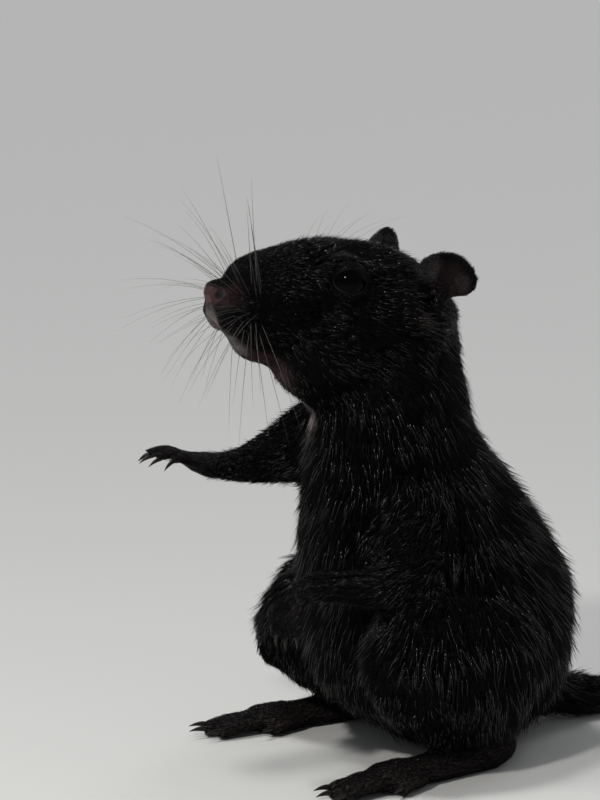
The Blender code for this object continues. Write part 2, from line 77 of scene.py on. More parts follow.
# The animal's own landmarks. The eyes carry the head's axes: left runs from eye to eye,
# forward points down the snout, and up is square to both.
head_turn = math.radians(-10.0)
head_pitch = math.radians(13.0)
head_tilt = math.radians(2.0)
head_axes = (Matrix.Rotation(head_turn, 3, "Z") @ Matrix.Rotation(-head_pitch, 3, "X")
             @ Matrix.Rotation(head_tilt, 3, "Y"))


def node_centre(name):
    low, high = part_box(name)
    return (low + high) / 2


def head_direction(forward, left, up):
    return head_axes @ Vector((left, -forward, up))


eye_centres = {side: node_centre(f"eye_{side}") for side in ("left", "right")}
eye_forward = 0.2 * MM
head_origin = (eye_centres["left"] + eye_centres["right"]) / 2 - head_direction(eye_forward, 0, 0)


def in_head(forward, left, up):
    """A point given in millimetres forward, left and up from between the eyes."""
    return head_origin + head_direction(forward * MM, left * MM, up * MM)


# The view. The camera looks from the animal's left front, a little above its eyes, and the
# near eye falls where the photograph shows it.
view_azimuth = math.radians(60.0)
view_height = math.radians(11.0)
view_distance = 0.5
picture_width = 600
picture_height = 800
focal_pixels = 3500
eye_pixel = (348, 282)
sensor_mm = 36.0
nearest_seen = 0.01
farthest_seen = 20.0

view_back = Vector((math.sin(view_azimuth) * math.cos(view_height),
                    -math.cos(view_azimuth) * math.cos(view_height), math.sin(view_height)))
view_right = Vector((math.cos(view_azimuth), math.sin(view_azimuth), 0.0))
view_up = view_back.cross(view_right)
pixel = view_distance / focal_pixels
looked_at = (eye_centres["left"] - view_right * (eye_pixel[0] - picture_width / 2) * pixel
             + view_up * (eye_pixel[1] - picture_height / 2) * pixel)

bpy.ops.object.camera_add(location=looked_at + view_back * view_distance)
camera = bpy.context.object
camera.rotation_mode = "QUATERNION"
camera.rotation_quaternion = view_back.to_track_quat("Z", "Y")
camera.data.sensor_fit = "AUTO"
camera.data.sensor_width = sensor_mm
camera.data.lens = focal_pixels * sensor_mm / picture_height
camera.data.clip_start = nearest_seen
camera.data.clip_end = farthest_seen
bpy.context.scene.camera = camera


# The studio. A wide pale floor, a dim even surround, two broad soft lights from above and
# behind, and a small lamp up in front of the face, which the eye shows as one bright point.
floor_size = 12.0
floor_grey = (0.60, 0.60, 0.585, 1.0)
floor_roughness = 0.85
surround_grey = (0.80, 0.82, 0.85, 1.0)
surround_strength = 0.34
overhead_way = view_right * -0.30 + Vector((0, 0, 1.0)) - view_back * 0.08
behind_way = view_right * 0.55 - view_back * 0.80 + Vector((0, 0, 0.75))
soft_lights = {"overhead": (overhead_way, 1.35, 12.0), "behind": (behind_way, 0.40, 20.0)}
catch_way = view_right * -0.395 + view_up * 0.489 + view_back * 0.767
catch_distance = 0.3
catch_size = 0.028
catch_watts = 0.55
catch_color = (1.0, 0.98, 0.95)


def add_light(kind, name, way, energy, location=(0, 0, 0)):
    """A light that shines from the way given, seen from what it lights."""
    bpy.ops.object.light_add(type=kind, location=location)
    light = bpy.context.object
    light.name = name
    light.rotation_mode = "QUATERNION"
    light.rotation_quaternion = way.to_track_quat("Z", "Y")
    light.data.energy = energy
    return light


bpy.ops.mesh.primitive_plane_add(size=floor_size)
floor = bpy.context.object
floor.name = "floor"
pale_floor = bpy.data.materials.new("pale_floor")
pale_floor.use_nodes = True
floor_shader = pale_floor.node_tree.nodes["Principled BSDF"]
floor_shader.inputs["Base Color"].default_value = floor_grey
floor_shader.inputs["Roughness"].default_value = floor_roughness
floor.data.materials.append(pale_floor)

world = bpy.data.worlds.new("studio")
bpy.context.scene.world = world
world.use_nodes = True
world.node_tree.nodes["Background"].inputs["Color"].default_value = surround_grey
world.node_tree.nodes["Background"].inputs["Strength"].default_value = surround_strength
bpy.context.scene.view_settings.view_transform = "Standard"

for name, (way, strength, width_degrees) in soft_lights.items():
    add_light("SUN", name, way, strength).data.angle = math.radians(width_degrees)
catchlight = add_light("AREA", "catchlight", catch_way, catch_watts,
                       eye_centres["left"] + catch_way.normalized() * catch_distance)
catchlight.data.shape = "DISK"
catchlight.data.size = catch_size
catchlight.data.color = catch_color
catchlight.visible_camera = False


# The skin. One closed hide goes over the whole animal without a seam, from the nose to the tail.
# It is made from the parted solids swollen until they meet, grown together, and then drawn in
# by the depth of the coat that stands on it.
flesh = [name for name in frame["nodes"] if not name.startswith(("eye_", "claw_"))]
swell = 0.35 * MM
voxel = 0.34 * MM
weld = 0.001 * MM
smooth_in = 0.55
smooth_out = -0.58


def deselect():
    if bpy.context.object and bpy.context.object.mode != "OBJECT":
        bpy.ops.object.mode_set(mode="OBJECT")
    bpy.ops.object.select_all(action="DESELECT")


def activate(piece):
    deselect()
    piece.select_set(True)
    bpy.context.view_layer.objects.active = piece


def joined_copy(names, title):
    """A new object with copies of these nodes' meshes, their loose triangles merged."""
    deselect()
    for name in names:
        part = bpy.data.objects.new(title, frame["nodes"][name].data.copy())
        bpy.context.scene.collection.objects.link(part)
        part.select_set(True)
    bpy.context.view_layer.objects.active = part
    bpy.ops.object.join()
    bpy.ops.object.mode_set(mode="EDIT")
    bpy.ops.mesh.select_all(action="SELECT")
    bpy.ops.mesh.remove_doubles(threshold=weld)
    bpy.ops.object.mode_set(mode="OBJECT")
    return bpy.context.object


def apply_modifier(piece, kind, **settings):
    activate(piece)
    modifier = piece.modifiers.new(kind.lower(), kind)
    for key, value in settings.items():
        setattr(modifier, key, value)
    bpy.ops.object.modifier_apply(modifier=modifier.name)


def points_of(mesh):
    points = np.empty(len(mesh.vertices) * 3)
    mesh.vertices.foreach_get("co", points)
    return points.reshape(-1, 3)


def set_points(mesh, points):
    mesh.vertices.foreach_set("co", points.ravel())
    mesh.update()


def normals_of(mesh):
    normals = np.empty(len(mesh.vertices) * 3)
    mesh.vertices.foreach_get("normal", normals)
    return normals.reshape(-1, 3)


def edges_of(mesh):
    edges = np.empty(len(mesh.edges) * 2, np.int64)
    mesh.edges.foreach_get("vertices", edges)
    return edges.reshape(-1, 2)


def spread(values, edges, rounds, share=0.5):
    """Evens out a value or vector over the surface, each vertex with its neighbours."""
    values = np.array(values, float)
    flat = values.reshape(len(values), -1)
    count = len(flat)
    a, b = edges[:, 0], edges[:, 1]
    neighbours = np.maximum(np.bincount(a, minlength=count) + np.bincount(b, minlength=count), 1)
    for _ in range(rounds):
        for column in range(flat.shape[1]):
            part = flat[:, column]
            total = np.bincount(a, part[b], count) + np.bincount(b, part[a], count)
            flat[:, column] = part + share * (total / neighbours - part)
    return flat.reshape(values.shape)


def smooth_shape(mesh, rounds, where=None):
    """Smooths the surface without shrinking it, a step in and a step out each round."""
    edges = edges_of(mesh)
    points = points_of(mesh)
    for _ in range(rounds):
        for share in (smooth_in, smooth_out):
            moved = spread(points, edges, 1, share)
            points = moved if where is None else points + (moved - points) * where[:, None]
    set_points(mesh, points)


skin = joined_copy(flesh + ["eye_left", "eye_right"], "skin")
skin.name = "skin"
skin.data.name = "skin"
skin.data.materials.clear()

# The fingers and toes aren't swollen but drawn in, so that they stay apart. Millimetres from a
# claw within which a digit is drawn in fully, and beyond which not at all.
digit_draw = -0.14 * MM
digit_reach = {"forepaw": (4.6, 6.2), "hind_foot": (6.0, 8.0)}
claw_places = {}
for limb, paw in (("fore", "forepaw"), ("hind", "hind_foot")):
    for side in ("left", "right"):
        claws = [name for name in sorted(frame["nodes"]) if name.startswith(f"claw_{limb}_{side}")]
        claw_places[f"{paw}_{side}"] = [np.array(node_centre(name)) for name in claws]


def paw_kind(name):
    return name.rsplit("_", 1)[0]


def in_box(points, name, margin):
    """Where the points lie in a node's box or within the margin of it."""
    low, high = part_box(name)
    return np.all((points > np.array(low) - margin) & (points < np.array(high) + margin), axis=1)


def digit_share(points):
    """1 on the fingers and toes, 0 from the palm and sole back."""
    share = np.zeros(len(points))
    for paw, places in claw_places.items():
        away = np.min([np.linalg.norm(points - place, axis=1) for place in places], axis=0) / MM
        near, far = digit_reach[paw_kind(paw)]
        fall = np.clip((away - near) / (far - near), 0, 1)
        share = np.maximum(share, (1.0 - fall) * in_box(points, paw, swell))
    return share


def swell_over(points):
    return swell + (digit_draw - swell) * digit_share(points)


rough_points = points_of(skin.data)
set_points(skin.data, rough_points + normals_of(skin.data) * swell_over(rough_points)[:, None])
apply_modifier(skin, "REMESH", mode="VOXEL", voxel_size=voxel)


def select_vertices(piece, chosen):
    """Opens a piece in edit mode with the chosen vertices selected."""
    activate(piece)
    bpy.ops.object.mode_set(mode="EDIT")
    bpy.ops.mesh.select_mode(type="VERT")
    bpy.ops.mesh.select_all(action="DESELECT")
    bpy.ops.object.mode_set(mode="OBJECT")
    piece.data.vertices.foreach_set("select", chosen)
    bpy.ops.object.mode_set(mode="EDIT")


def keep_outer_shell(piece):
    """Removes any closed pocket that the joins have left inside the hide."""
    heights = points_of(piece.data)[:, 2]
    select_vertices(piece, np.arange(len(heights)) == np.argmax(heights))
    bpy.ops.mesh.select_linked()
    bpy.ops.mesh.select_all(action="INVERT")
    bpy.ops.mesh.delete(type="VERT")
    bpy.ops.object.mode_set(mode="OBJECT")


keep_outer_shell(skin)
smooth_shape(skin.data, rounds=5)

# Where the surface carries fine detail it stays fine: the face, the ears, the paws and the
# feet. The rest lies under deep fur and is thinned.
detail_margin = 0.8 * MM
face_back = -5 * MM
face_low = -18 * MM
face_half_width = 12 * MM
kept_share = 0.36


def is_detailed(points):
    detailed = np.zeros(len(points), bool)
    for name in flesh:
        if name.startswith(("ear_", "forepaw_", "hind_foot_")):
            detailed |= in_box(points, name, detail_margin)
    offset = points - np.array(head_origin)
    ways = ((1, 0, 0), (0, 1, 0), (0, 0, 1))
    forward, left, up = (offset @ np.array(head_direction(*way)) for way in ways)
    return detailed | ((forward > face_back) & (up > face_low) & (np.abs(left) < face_half_width))


group = skin.vertex_groups.new(name="deep_coat")
deep = np.nonzero(~is_detailed(points_of(skin.data)))[0]
group.add([int(i) for i in deep], 1.0, "REPLACE")
apply_modifier(skin, "DECIMATE", ratio=kept_share, vertex_group="deep_coat")
skin.vertex_groups.clear()

# The coat's depth over each part, in millimetres, by which the skin lies inside the outline. It
# eases off along the snout and the nose, which run forward from the eyes, and round the lids.
coat_depth = {"head": 0.95, "neck": 1.5, "chest": 2.0, "abdomen": 2.2, "ear": 0.22, "upper_arm": 1.4,
              "forearm": 0.8, "forepaw": 0.20, "thigh": 2.0, "lower_leg": 0.9, "hind_foot": 0.22,
              "tail": 0.95}
snout_depth = 0.42
nose_depth = 0.12
lid_depth = 0.25
snout_run = (5.0, 13.0)
nose_run = (15.2, 16.6)
eye_radius = 2.7
lid_run = (eye_radius + 0.2, eye_radius + 3.0)


def kind_of(name):
    """The part a node belongs to, without its side or number."""
    for kind in coat_depth:
        if name.startswith(kind):
            return kind


kinds = [kind_of(name) for name in flesh]


def nearest_nodes(points):
    """For each point, the index of the solid of flesh that lies nearest."""
    corners = []
    faces = []
    owners = []
    for index, name in enumerate(flesh):
        mesh = frame["nodes"][name].data
        start = len(corners)
        corners.extend(v.co.copy() for v in mesh.vertices)
        faces.extend([start + i for i in face.vertices] for face in mesh.polygons)
        owners.extend([index] * len(mesh.polygons))
    tree = BVHTree.FromPolygons(corners, faces)
    return np.array([owners[tree.find_nearest(point)[2]] for point in points])


def owned_by(owners, *parts):
    """Where the nearest solid is one of these parts of the body."""
    return np.array([kind in parts for kind in kinds])[owners]


def head_local(points):
    """Points as millimetres forward, left and up in the head's own frame."""
    offset = (np.asarray(points) - np.array(head_origin)) / MM
    axes = np.array([head_direction(1, 0, 0), head_direction(0, 1, 0), head_direction(0, 0, 1)])
    return offset @ axes.T


def smoothstep(low, high, values):
    t = np.clip((values - low) / (high - low), 0.0, 1.0)
    return t * t * (3.0 - 2.0 * t)


def depth_over(points, owners):
    depth = np.array([coat_depth[kind] for kind in kinds])[owners]
    forward = head_local(points)[:, 0]
    on_head = owned_by(owners, "head")
    for run, there in ((snout_run, snout_depth), (nose_run, nose_depth)):
        depth = np.where(on_head, depth + (there - depth) * smoothstep(*run, forward), depth)
    for centre in eye_centres.values():
        reach = np.linalg.norm(points - np.array(centre), axis=1) / MM
        near = 1.0 - smoothstep(*lid_run, reach)
        depth = depth + (lid_depth - depth) * near
    return depth


points = points_of(skin.data)
owners = nearest_nodes(points)
edges = edges_of(skin.data)
depth = spread(depth_over(points, owners), edges, rounds=30)
drawn_in = depth * MM + spread(swell_over(points), edges, rounds=6)
set_points(skin.data, points - normals_of(skin.data) * drawn_in[:, None])
digits_kept = 0.7
smooth_shape(skin.data, rounds=4, where=1.0 - digits_kept * digit_share(points_of(skin.data)))
smooth_shape(skin.data, rounds=14, where=spread(owned_by(owners, "ear"), edges, rounds=6))


# The face is shaped in the skin: lids round the eyes, comma-shaped nostrils, the cleft of the
# upper lip and the line of the mouth.
eye_detail_reach = 4.4 * MM
nose_detail_middle = (15.5, 0, -7.5)
nose_detail_reach = 5.6 * MM


def finer(piece, centre, reach):
    """Halves the faces within reach of a point."""
    away = np.linalg.norm(points_of(piece.data) - np.array(centre), axis=1)
    select_vertices(piece, away < reach)
    bpy.ops.mesh.subdivide(number_cuts=1)
    bpy.ops.object.mode_set(mode="OBJECT")


for centre in eye_centres.values():
    finer(skin, centre, eye_detail_reach)
finer(skin, in_head(*nose_detail_middle), nose_detail_reach)

# The lids, in millimetres: half the opening, the gap to the ball, the rounded edge, and how far
# the skin round it takes part.
lid_half_width = 2.42
lid_half_height = 1.72
lower_lid_lift = 0.10
lid_gap = 0.13
lid_roll = 0.07
lid_roll_width = 0.75
lid_edge = 0.28
lid_ease = (0.35, 1.7)
lid_clearance = 0.05
socket_depth = 0.8
lid_spread = 2.4
lid_height = 2.6
lid_facing = 0.1
far_outside = 9.0
gaze_forward = 0.16
gaze_up = 0.16
lid_dip = -0.10


def eye_axes(side):
    """The direction the eye looks, and its own forward and up across that."""
    sign = 1.0 if side == "left" else -1.0
    outward = head_direction(gaze_forward, sign, gaze_up).normalized()
    forward = head_direction(1.0, 0, lid_dip)
    forward = (forward - outward * forward.dot(outward)).normalized()
    up = outward.cross(forward) * -sign
    return np.array(outward), np.array(forward), np.array(up)


def lid_opening(points, side):
    """Distance in millimetres outside the edge of the lids, along the ball; negative within."""
    outward, forward, up = eye_axes(side)
    offset = (points - np.array(eye_centres[side])) / MM
    reach = np.maximum(np.linalg.norm(offset, axis=1), 1e-6)
    across = eye_radius * (offset @ forward) / reach
    above = eye_radius * (offset @ up) / reach
    out = (offset @ outward) / reach
    drop = 1.0 - lower_lid_lift * (above < 0)
    oval = np.sqrt((across / lid_half_width) ** 2 + (above / (lid_half_height * drop)) ** 2)
    mean_radius = (lid_half_width + lid_half_height) / 2
    return np.where(out > lid_facing, (oval - 1.0) * mean_radius, far_outside), reach


def shape_lids(points, side):
    centre = np.array(eye_centres[side])
    outside, reach = lid_opening(points, side)
    near = (reach < eye_radius + lid_height) & (outside < lid_spread)
    sunk = eye_radius - socket_depth
    rim = eye_radius + lid_gap
    wall = sunk + (rim - sunk) * smoothstep(-lid_edge, 0.0, outside)
    roll = rim + lid_roll * np.sin(np.pi * np.clip(outside / lid_roll_width, 0, 1))
    lid = roll + (np.maximum(reach, rim + lid_clearance) - roll) * smoothstep(*lid_ease, outside)
    target = np.where(outside < 0, wall, lid)
    scale = np.where(near, target / reach, 1.0)
    return centre + (points - centre) * scale[:, None]


def nearness(points, path, reach):
    """1 on a path given in the head's millimetres, falling smoothly to 0 at the reach."""
    local = head_local(points)
    closest = np.full(len(local), 1e9)
    for a, b in zip(path[:-1], path[1:]):
        a = np.array(a, float)
        b = np.array(b, float)
        along = np.clip(((local - a) @ (b - a)) / max((b - a) @ (b - a), 1e-9), 0, 1)
        closest = np.minimum(closest, np.linalg.norm(local - (a + along[:, None] * (b - a)), axis=1))
    return np.clip(1.0 - (closest / reach) ** 2, 0.0, 1.0) ** 1.5


def press(mesh, path, reach, deep):
    """Presses a groove into the skin along a path, or raises a ridge where it is less than 0 deep."""
    points = points_of(mesh)
    amount = nearness(points, path, reach)
    set_points(mesh, points - normals_of(mesh) * (amount * deep * MM)[:, None])


def on_side(path, sign):
    """A path given for the left of the head, for the side that the sign says."""
    return [(forward, sign * left, up) for forward, left, up in path]


nostril = ((17.0, 0.9, -6.6), (16.2, 1.9, -6.1), (15.4, 2.2, -5.2))
mouth = ((15.8, 0, -10.0), (13.5, 2.4, -11.3), (9.5, 4.4, -11.2), (6.5, 5.6, -10.4))
cleft = ((17.4, 0, -6.6), (16.6, 0, -8.6), (15.6, 0, -10.2))
side_signs = {"left": 1.0, "right": -1.0}
for side, sign in side_signs.items():
    set_points(skin.data, shape_lids(points_of(skin.data), side))
    press(skin.data, on_side(nostril, sign), reach=0.55, deep=0.8)
    press(skin.data, on_side(mouth, sign), reach=0.8, deep=0.55)
press(skin.data, cleft, reach=0.5, deep=0.45)

# Inside each ear the bowl narrows to the canal, with a low lobe under it and a fold in front.
# The right ear is set a little further forward on the head than the left. Each fold has its
# path, its reach and its depth.
ear_forward = {"left": 0.0, "right": 2.1}
ear_folds = {
    "canal": (((-12.0, 8.8, 0.2), (-11.6, 8.6, -1.8)), 1.8, 1.1),
    "lobe": (((-11.6, 9.2, -2.9), (-10.6, 9.3, -4.2)), 1.1, -0.45),
    "front_fold": (((-10.4, 8.9, 1.4), (-10.1, 9.0, 5.6)), 0.9, -0.28),
    "bowl": (((-12.6, 9.7, 3.0), (-13.2, 10.3, 6.4)), 1.3, 0.20),
}


def ear_path(side, path):
    return [(f + ear_forward[side], side_signs[side] * l, u) for f, l, u in path]


for side in side_signs:
    for path, reach, deep in ear_folds.values():
        press(skin.data, ear_path(side, path), reach, deep)

activate(skin)
bpy.ops.object.mode_set(mode="EDIT")
bpy.ops.mesh.select_all(action="SELECT")
bpy.ops.mesh.quads_convert_to_tris()
bpy.ops.object.mode_set(mode="OBJECT")
bpy.ops.object.shade_smooth()


# Between neighbouring fingers and toes the hide is drawn in to a groove, with a notch in front,
# so that each digit stands out by itself. The sizes are in millimetres.
groove_length = {"forepaw": 3.4, "hind_foot": 5.0}
groove_half_width = 0.40
groove_depth = 0.50
groove_full = 0.6
groove_front = -1.6
groove_height = 2.2
notch_depth = 1.2
notch_length = 1.8
widest_step = 4.4
fan = 0.6


def digit_gaps():
    """Where each gap between two digits starts, and the ways back and across."""
    gaps = []
    for paw, places in claw_places.items():
        low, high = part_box(paw)
        middle = (np.array(low) + np.array(high)) / 2
        for first, second in zip(places, places[1:]):
            if np.linalg.norm(second - first) > widest_step * MM:
                continue
            start = (first + second) / 2
            back = middle + fan * (start - np.mean(places, axis=0)) - start
            back = back / np.linalg.norm(back)
            across = second - first
            across = across - back * (across @ back)
            across = across / np.linalg.norm(across)
            gaps.append((start, back, across, groove_length[paw_kind(paw)]))
    return gaps


def gap_share(points, gap):
    """How deep in one gap each point lies, and how far back along it."""
    start, back, across, reach = gap
    offset = (points - start) / MM
    along = offset @ back
    beside = np.abs(offset @ across)
    off_line = np.linalg.norm(offset - np.outer(along, back), axis=1)
    fade = 1.0 - smoothstep(groove_full * reach, reach, along)
    share = np.exp(-(beside / groove_half_width) ** 2) * fade
    return share * (along > groove_front) * (off_line < groove_height), along


gaps = digit_gaps()
for gap in gaps:
    points = points_of(skin.data)
    share, along = gap_share(points, gap)
    notch = share * (1.0 - smoothstep(0.0, notch_length, along)) * notch_depth * MM
    set_points(skin.data, points - normals_of(skin.data) * (share * groove_depth * MM)[:, None]
               + gap[1] * notch[:, None])


def between_digits(points):
    return np.max([gap_share(points, gap)[0] for gap in gaps], axis=0)


# Colour lies on skin and coat alike: black all over, with a mauve-pink nose, pale lips, a sparse
# pink chin, a thin white stripe down the throat, and dusky ears and paws. Painted shade darkens
# the gaps between the digits, the ear canals, the nostrils and a ring round each eye, and a
# painted highlight pales the rear edge of each ear and, with grey hairs, its front. Places and
# sizes of the marks are in the head's millimetres.
fur_black = np.array((0.0031, 0.0029, 0.0032))
cheek_grey = np.array((0.012, 0.011, 0.011))
stripe_white = np.array((0.34, 0.31, 0.30))
skin_black = np.array((0.0038, 0.0034, 0.0036))
nose_pink = np.array((0.080, 0.044, 0.046))
muzzle_pink = np.array((0.030, 0.016, 0.018))
lip_pale = np.array((0.30, 0.265, 0.255))
chin_pink = np.array((0.110, 0.062, 0.066))
ear_pink = np.array((0.0165, 0.0095, 0.0105))
ear_middle = {"left": (-13.3, 10.5, 2.4), "right": (-11.2, -10.4, 2.0)}
# Grey hairs with a painted highlight over them on the ear's front; painted highlight only on its rear edge.
ear_grey_and_highlight = np.array((0.062, 0.058, 0.060))
lobe_brown = np.array((0.032, 0.025, 0.025))
paw_pink = np.array((0.027, 0.020, 0.019))
# Painted shade for the hollows: the digit gaps, the ear canals, the nostrils and round the eyes.
painted_hollow_shade = np.array((0.0015, 0.0012, 0.0012))
stripe_line = ((0.9, -1.2, -16.6), (-1.0, -0.1, -17.8), (-2.4, 0.4, -19.4), (-3.0, 0.3, -20.9),
               (-3.4, 0.1, -22.6), (-3.8, -0.1, -24.6))
bpy.context.view_layer.update()
stripe_path = head_local([skin.closest_point_on_mesh(in_head(*place))[1] for place in stripe_line])
stripe_half_width = 1.05
stripe_fade = (-24.0, -18.4)
stripe_least = 0.05
lip_paths = (((16.8, 0.0, -9.4), (14.4, 0.6, -11.1), (12.3, 1.2, -12.3)),
             ((16.8, 0.9, -9.3), (14.6, 2.4, -10.7)), ((16.8, -0.9, -9.3), (14.6, -2.4, -10.7)))
lip_reach = 2.0
nose_slit = ((17.2, 0.5, -7.4), (16.2, 3.0, -6.9))
nose_slit_reach = 0.6
chin_patch = ((8.0, 0.8, -14.2), (7.4, 5.4, 3.2))
muzzle_patch = ((15.4, 2.8, -6.0), (2.4, 2.6, 3.2))
nose_patch = ((17.4, 0, -6.2), (2.2, 3.0, 2.3))
under_nose_patch = ((15.0, 2.4, -8.8), (2.4, 2.4, 1.8))
nose_top_patch = ((16.8, 0, -3.7), (2.8, 2.5, 2.5))
nostril_patch = ((16.7, 1.8, -5.9), (1.1, 0.9, 1.0))
cheek_patch = ((-7.6, 8.4, -0.6), (3.0, 3.0, 5.6))
# The ear's front carries grey hairs and painted highlight; its rear edge carries painted highlight.
ear_front_patch = ((-10.3, 9.2, 4.2), (2.4, 2.4, 3.4))
ear_rear_highlight_patch = ((-15.5, 11.2, 3.2), (1.6, 1.9, 1.7))
lobe_hair_patch = ((-11.0, 9.3, -3.6), (1.6, 1.8, 1.5))
lobe_patch = ((-11.0, 9.3, -3.6), (1.9, 1.9, 1.7))
# Where painted shade fills each ear canal.
canal_shade_patch = ((-11.8, 8.7, -0.7), (2.3, 2.0, 2.0))
ear_rim = (2.7, 4.1)
ear_foot = (-1.2, 1.2)
# How far from each eye's middle the painted shade round it reaches.
eye_ring = (eye_radius + 0.3, eye_radius + 1.2)
gap_shade = (0.15, 0.7)
patch_middle = 0.55
on_hair = 0.85
chin_fading = 4
muzzle_fading = 3
under_nose_share = 0.8
ear_pink_share = 0.7
ear_rear_highlight_share = 0.6


def oval(points, centre, radii):
    """1 at the middle of an oval in the head's millimetres, falling to 0 at its edge."""
    local = (head_local(points) - np.array(centre)) / np.array(radii)
    return 1.0 - smoothstep(patch_middle, 1.0, np.linalg.norm(local, axis=1))


def stripe(points):
    """The thin pale line down the middle of the throat, fading downwards."""
    up = head_local(points)[:, 2]
    fade = stripe_least + (1.0 - stripe_least) * smoothstep(*stripe_fade, up)
    return nearness(points, stripe_path, stripe_half_width) * fade


def lip_line(points):
    """The pale lips, from under the nose down to the chin and a little way back on each side."""
    return np.max([nearness(points, path, lip_reach) for path in lip_paths], axis=0)


def both_sides(points, centre, radii):
    """The same oval on the left and on the right of the face."""
    return np.max([oval(points, on_side([centre], sign)[0], radii) for sign in side_signs.values()], axis=0)


def ear_oval(points, centre, radii):
    """The same oval at the left ear and at the right one."""
    return np.max([oval(points, ear_path(side, [centre])[0], radii) for side in side_signs], axis=0)


def mix(base, tint, share):
    return base + (tint - base) * share[:, None]


def face_marks(points, color, strength):
    """Lays the pale and pink marks of the face over a colour, on hide and hair alike. Hair
    carries them more weakly, the pink of chin and muzzle most of all."""
    color = mix(color, stripe_white, stripe(points))
    color = mix(color, chin_pink, strength ** chin_fading * oval(points, *chin_patch))
    color = mix(color, muzzle_pink, strength ** muzzle_fading * both_sides(points, *muzzle_patch))
    color = mix(color, nose_pink, strength * oval(points, *nose_patch))
    color = mix(color, muzzle_pink, under_nose_share * both_sides(points, *under_nose_patch))
    color = mix(color, lip_pale, strength * lip_line(points))
    return mix(color, fur_black, oval(points, *nose_top_patch))


def ear_inside(points):
    """1 in the middle of an ear, falling to 0 at its dark rim."""
    local = head_local(points)
    away = np.min([np.linalg.norm(local - middle, axis=1) for middle in ear_middle.values()], axis=0)
    return (1.0 - smoothstep(*ear_rim, away)) * smoothstep(*ear_foot, local[:, 2])


def nose_openings(points):
    """The nostrils and the slit that runs out under each of them."""
    slits = [nearness(points, on_side(nose_slit, sign), nose_slit_reach) for sign in side_signs.values()]
    return np.maximum(np.max(slits, axis=0), both_sides(points, *nostril_patch))


def fur_colors(points):
    color = np.tile(fur_black, (len(points), 1))
    color = mix(color, cheek_grey, ear_oval(points, *cheek_patch))
    color = mix(color, ear_pink, ear_pink_share * ear_inside(points))
    # Grey hairs and painted highlight on the front of each ear.
    color = mix(color, ear_grey_and_highlight, ear_oval(points, *ear_front_patch))
    # Painted highlight along the rear edge of each ear.
    color = mix(color, ear_grey_and_highlight, ear_rear_highlight_share * ear_oval(points, *ear_rear_highlight_patch))
    color = mix(color, lobe_brown, ear_oval(points, *lobe_hair_patch))
    return face_marks(points, color, on_hair)


def skin_colors(points, owners):
    color = np.tile(skin_black, (len(points), 1))
    color = mix(color, ear_pink, ear_inside(points))
    color = mix(color, paw_pink, owned_by(owners, "forepaw", "hind_foot"))
    # Painted shade in the grooves between the fingers and toes.
    color = mix(color, painted_hollow_shade, smoothstep(*gap_shade, between_digits(points)))
    color = mix(color, lobe_brown, ear_oval(points, *lobe_patch))
    # Painted shade down each ear canal.
    color = mix(color, painted_hollow_shade, ear_oval(points, *canal_shade_patch))
    color = face_marks(points, color, 1.0)
    # Painted shade in the nostrils and the slits under them.
    color = mix(color, painted_hollow_shade, nose_openings(points))
    # Painted shade on the lids and in the socket round each eye.
    for centre in eye_centres.values():
        reach = np.linalg.norm(points - np.array(centre), axis=1) / MM
        color = mix(color, painted_hollow_shade, 1.0 - smoothstep(*eye_ring, reach))
    return color


def store_colors(mesh, colors):
    layer = mesh.color_attributes.new(name="coat_color", type="FLOAT_COLOR", domain="POINT")
    rgba = np.ones((len(colors), 4), np.float32)
    rgba[:, :3] = colors
    layer.data.foreach_set("color", rgba.ravel())


def node(tree, kind, **values):
    made = tree.nodes.new(kind)
    for key, value in values.items():
        if key in made.inputs:
            made.inputs[key].default_value = value
        else:
            setattr(made, key, value)
    return made


def marked_material(title, roughness, gloss, mottle, tones):
    """A surface in the colours stored on it, made darker and lighter by a soft mottle."""
    material = bpy.data.materials.new(title)
    material.use_nodes = True
    tree = material.node_tree
    shader = tree.nodes["Principled BSDF"]
    shader.inputs["Roughness"].default_value = roughness
    shader.inputs["Specular IOR Level"].default_value = gloss
    place = node(tree, "ShaderNodeTexCoord")
    marks = node(tree, "ShaderNodeAttribute", attribute_name="coat_color")
    cloud = node(tree, "ShaderNodeTexNoise", **mottle)
    tone = node(tree, "ShaderNodeMapRange", **tones)
    blend = node(tree, "ShaderNodeMix", data_type="RGBA", blend_type="MULTIPLY")
    blend.inputs["Factor"].default_value = 1.0
    tree.links.new(place.outputs["Object"], cloud.inputs["Vector"])
    tree.links.new(cloud.outputs["Fac"], tone.inputs["Value"])
    tree.links.new(marks.outputs["Color"], blend.inputs[6])
    tree.links.new(tone.outputs["Result"], blend.inputs[7])
    tree.links.new(blend.outputs[2], shader.inputs["Base Color"])
    return material


def hide_material():
    """Thin dull hide with fine wrinkles."""
    material = marked_material("hide", 0.50, 0.10, {"Scale": 900.0, "Detail": 4.0, "Roughness": 0.6},
                               {"To Min": 0.7, "To Max": 1.3})
    tree = material.node_tree
    place = node(tree, "ShaderNodeTexCoord")
    wrinkles = node(tree, "ShaderNodeTexNoise", Scale=3200.0, Detail=5.0, Roughness=0.65)
    bump = node(tree, "ShaderNodeBump", Strength=0.55, Distance=0.00012)
    tree.links.new(place.outputs["Object"], wrinkles.inputs["Vector"])
    tree.links.new(wrinkles.outputs["Fac"], bump.inputs["Height"])
    tree.links.new(bump.outputs["Normal"], tree.nodes["Principled BSDF"].inputs["Normal"])
    return material


skin_points = points_of(skin.data)
owners = nearest_nodes(skin_points)
store_colors(skin.data, skin_colors(skin_points, owners))
skin.data.materials.append(hide_material())
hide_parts(*flesh)
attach(skin, "root")


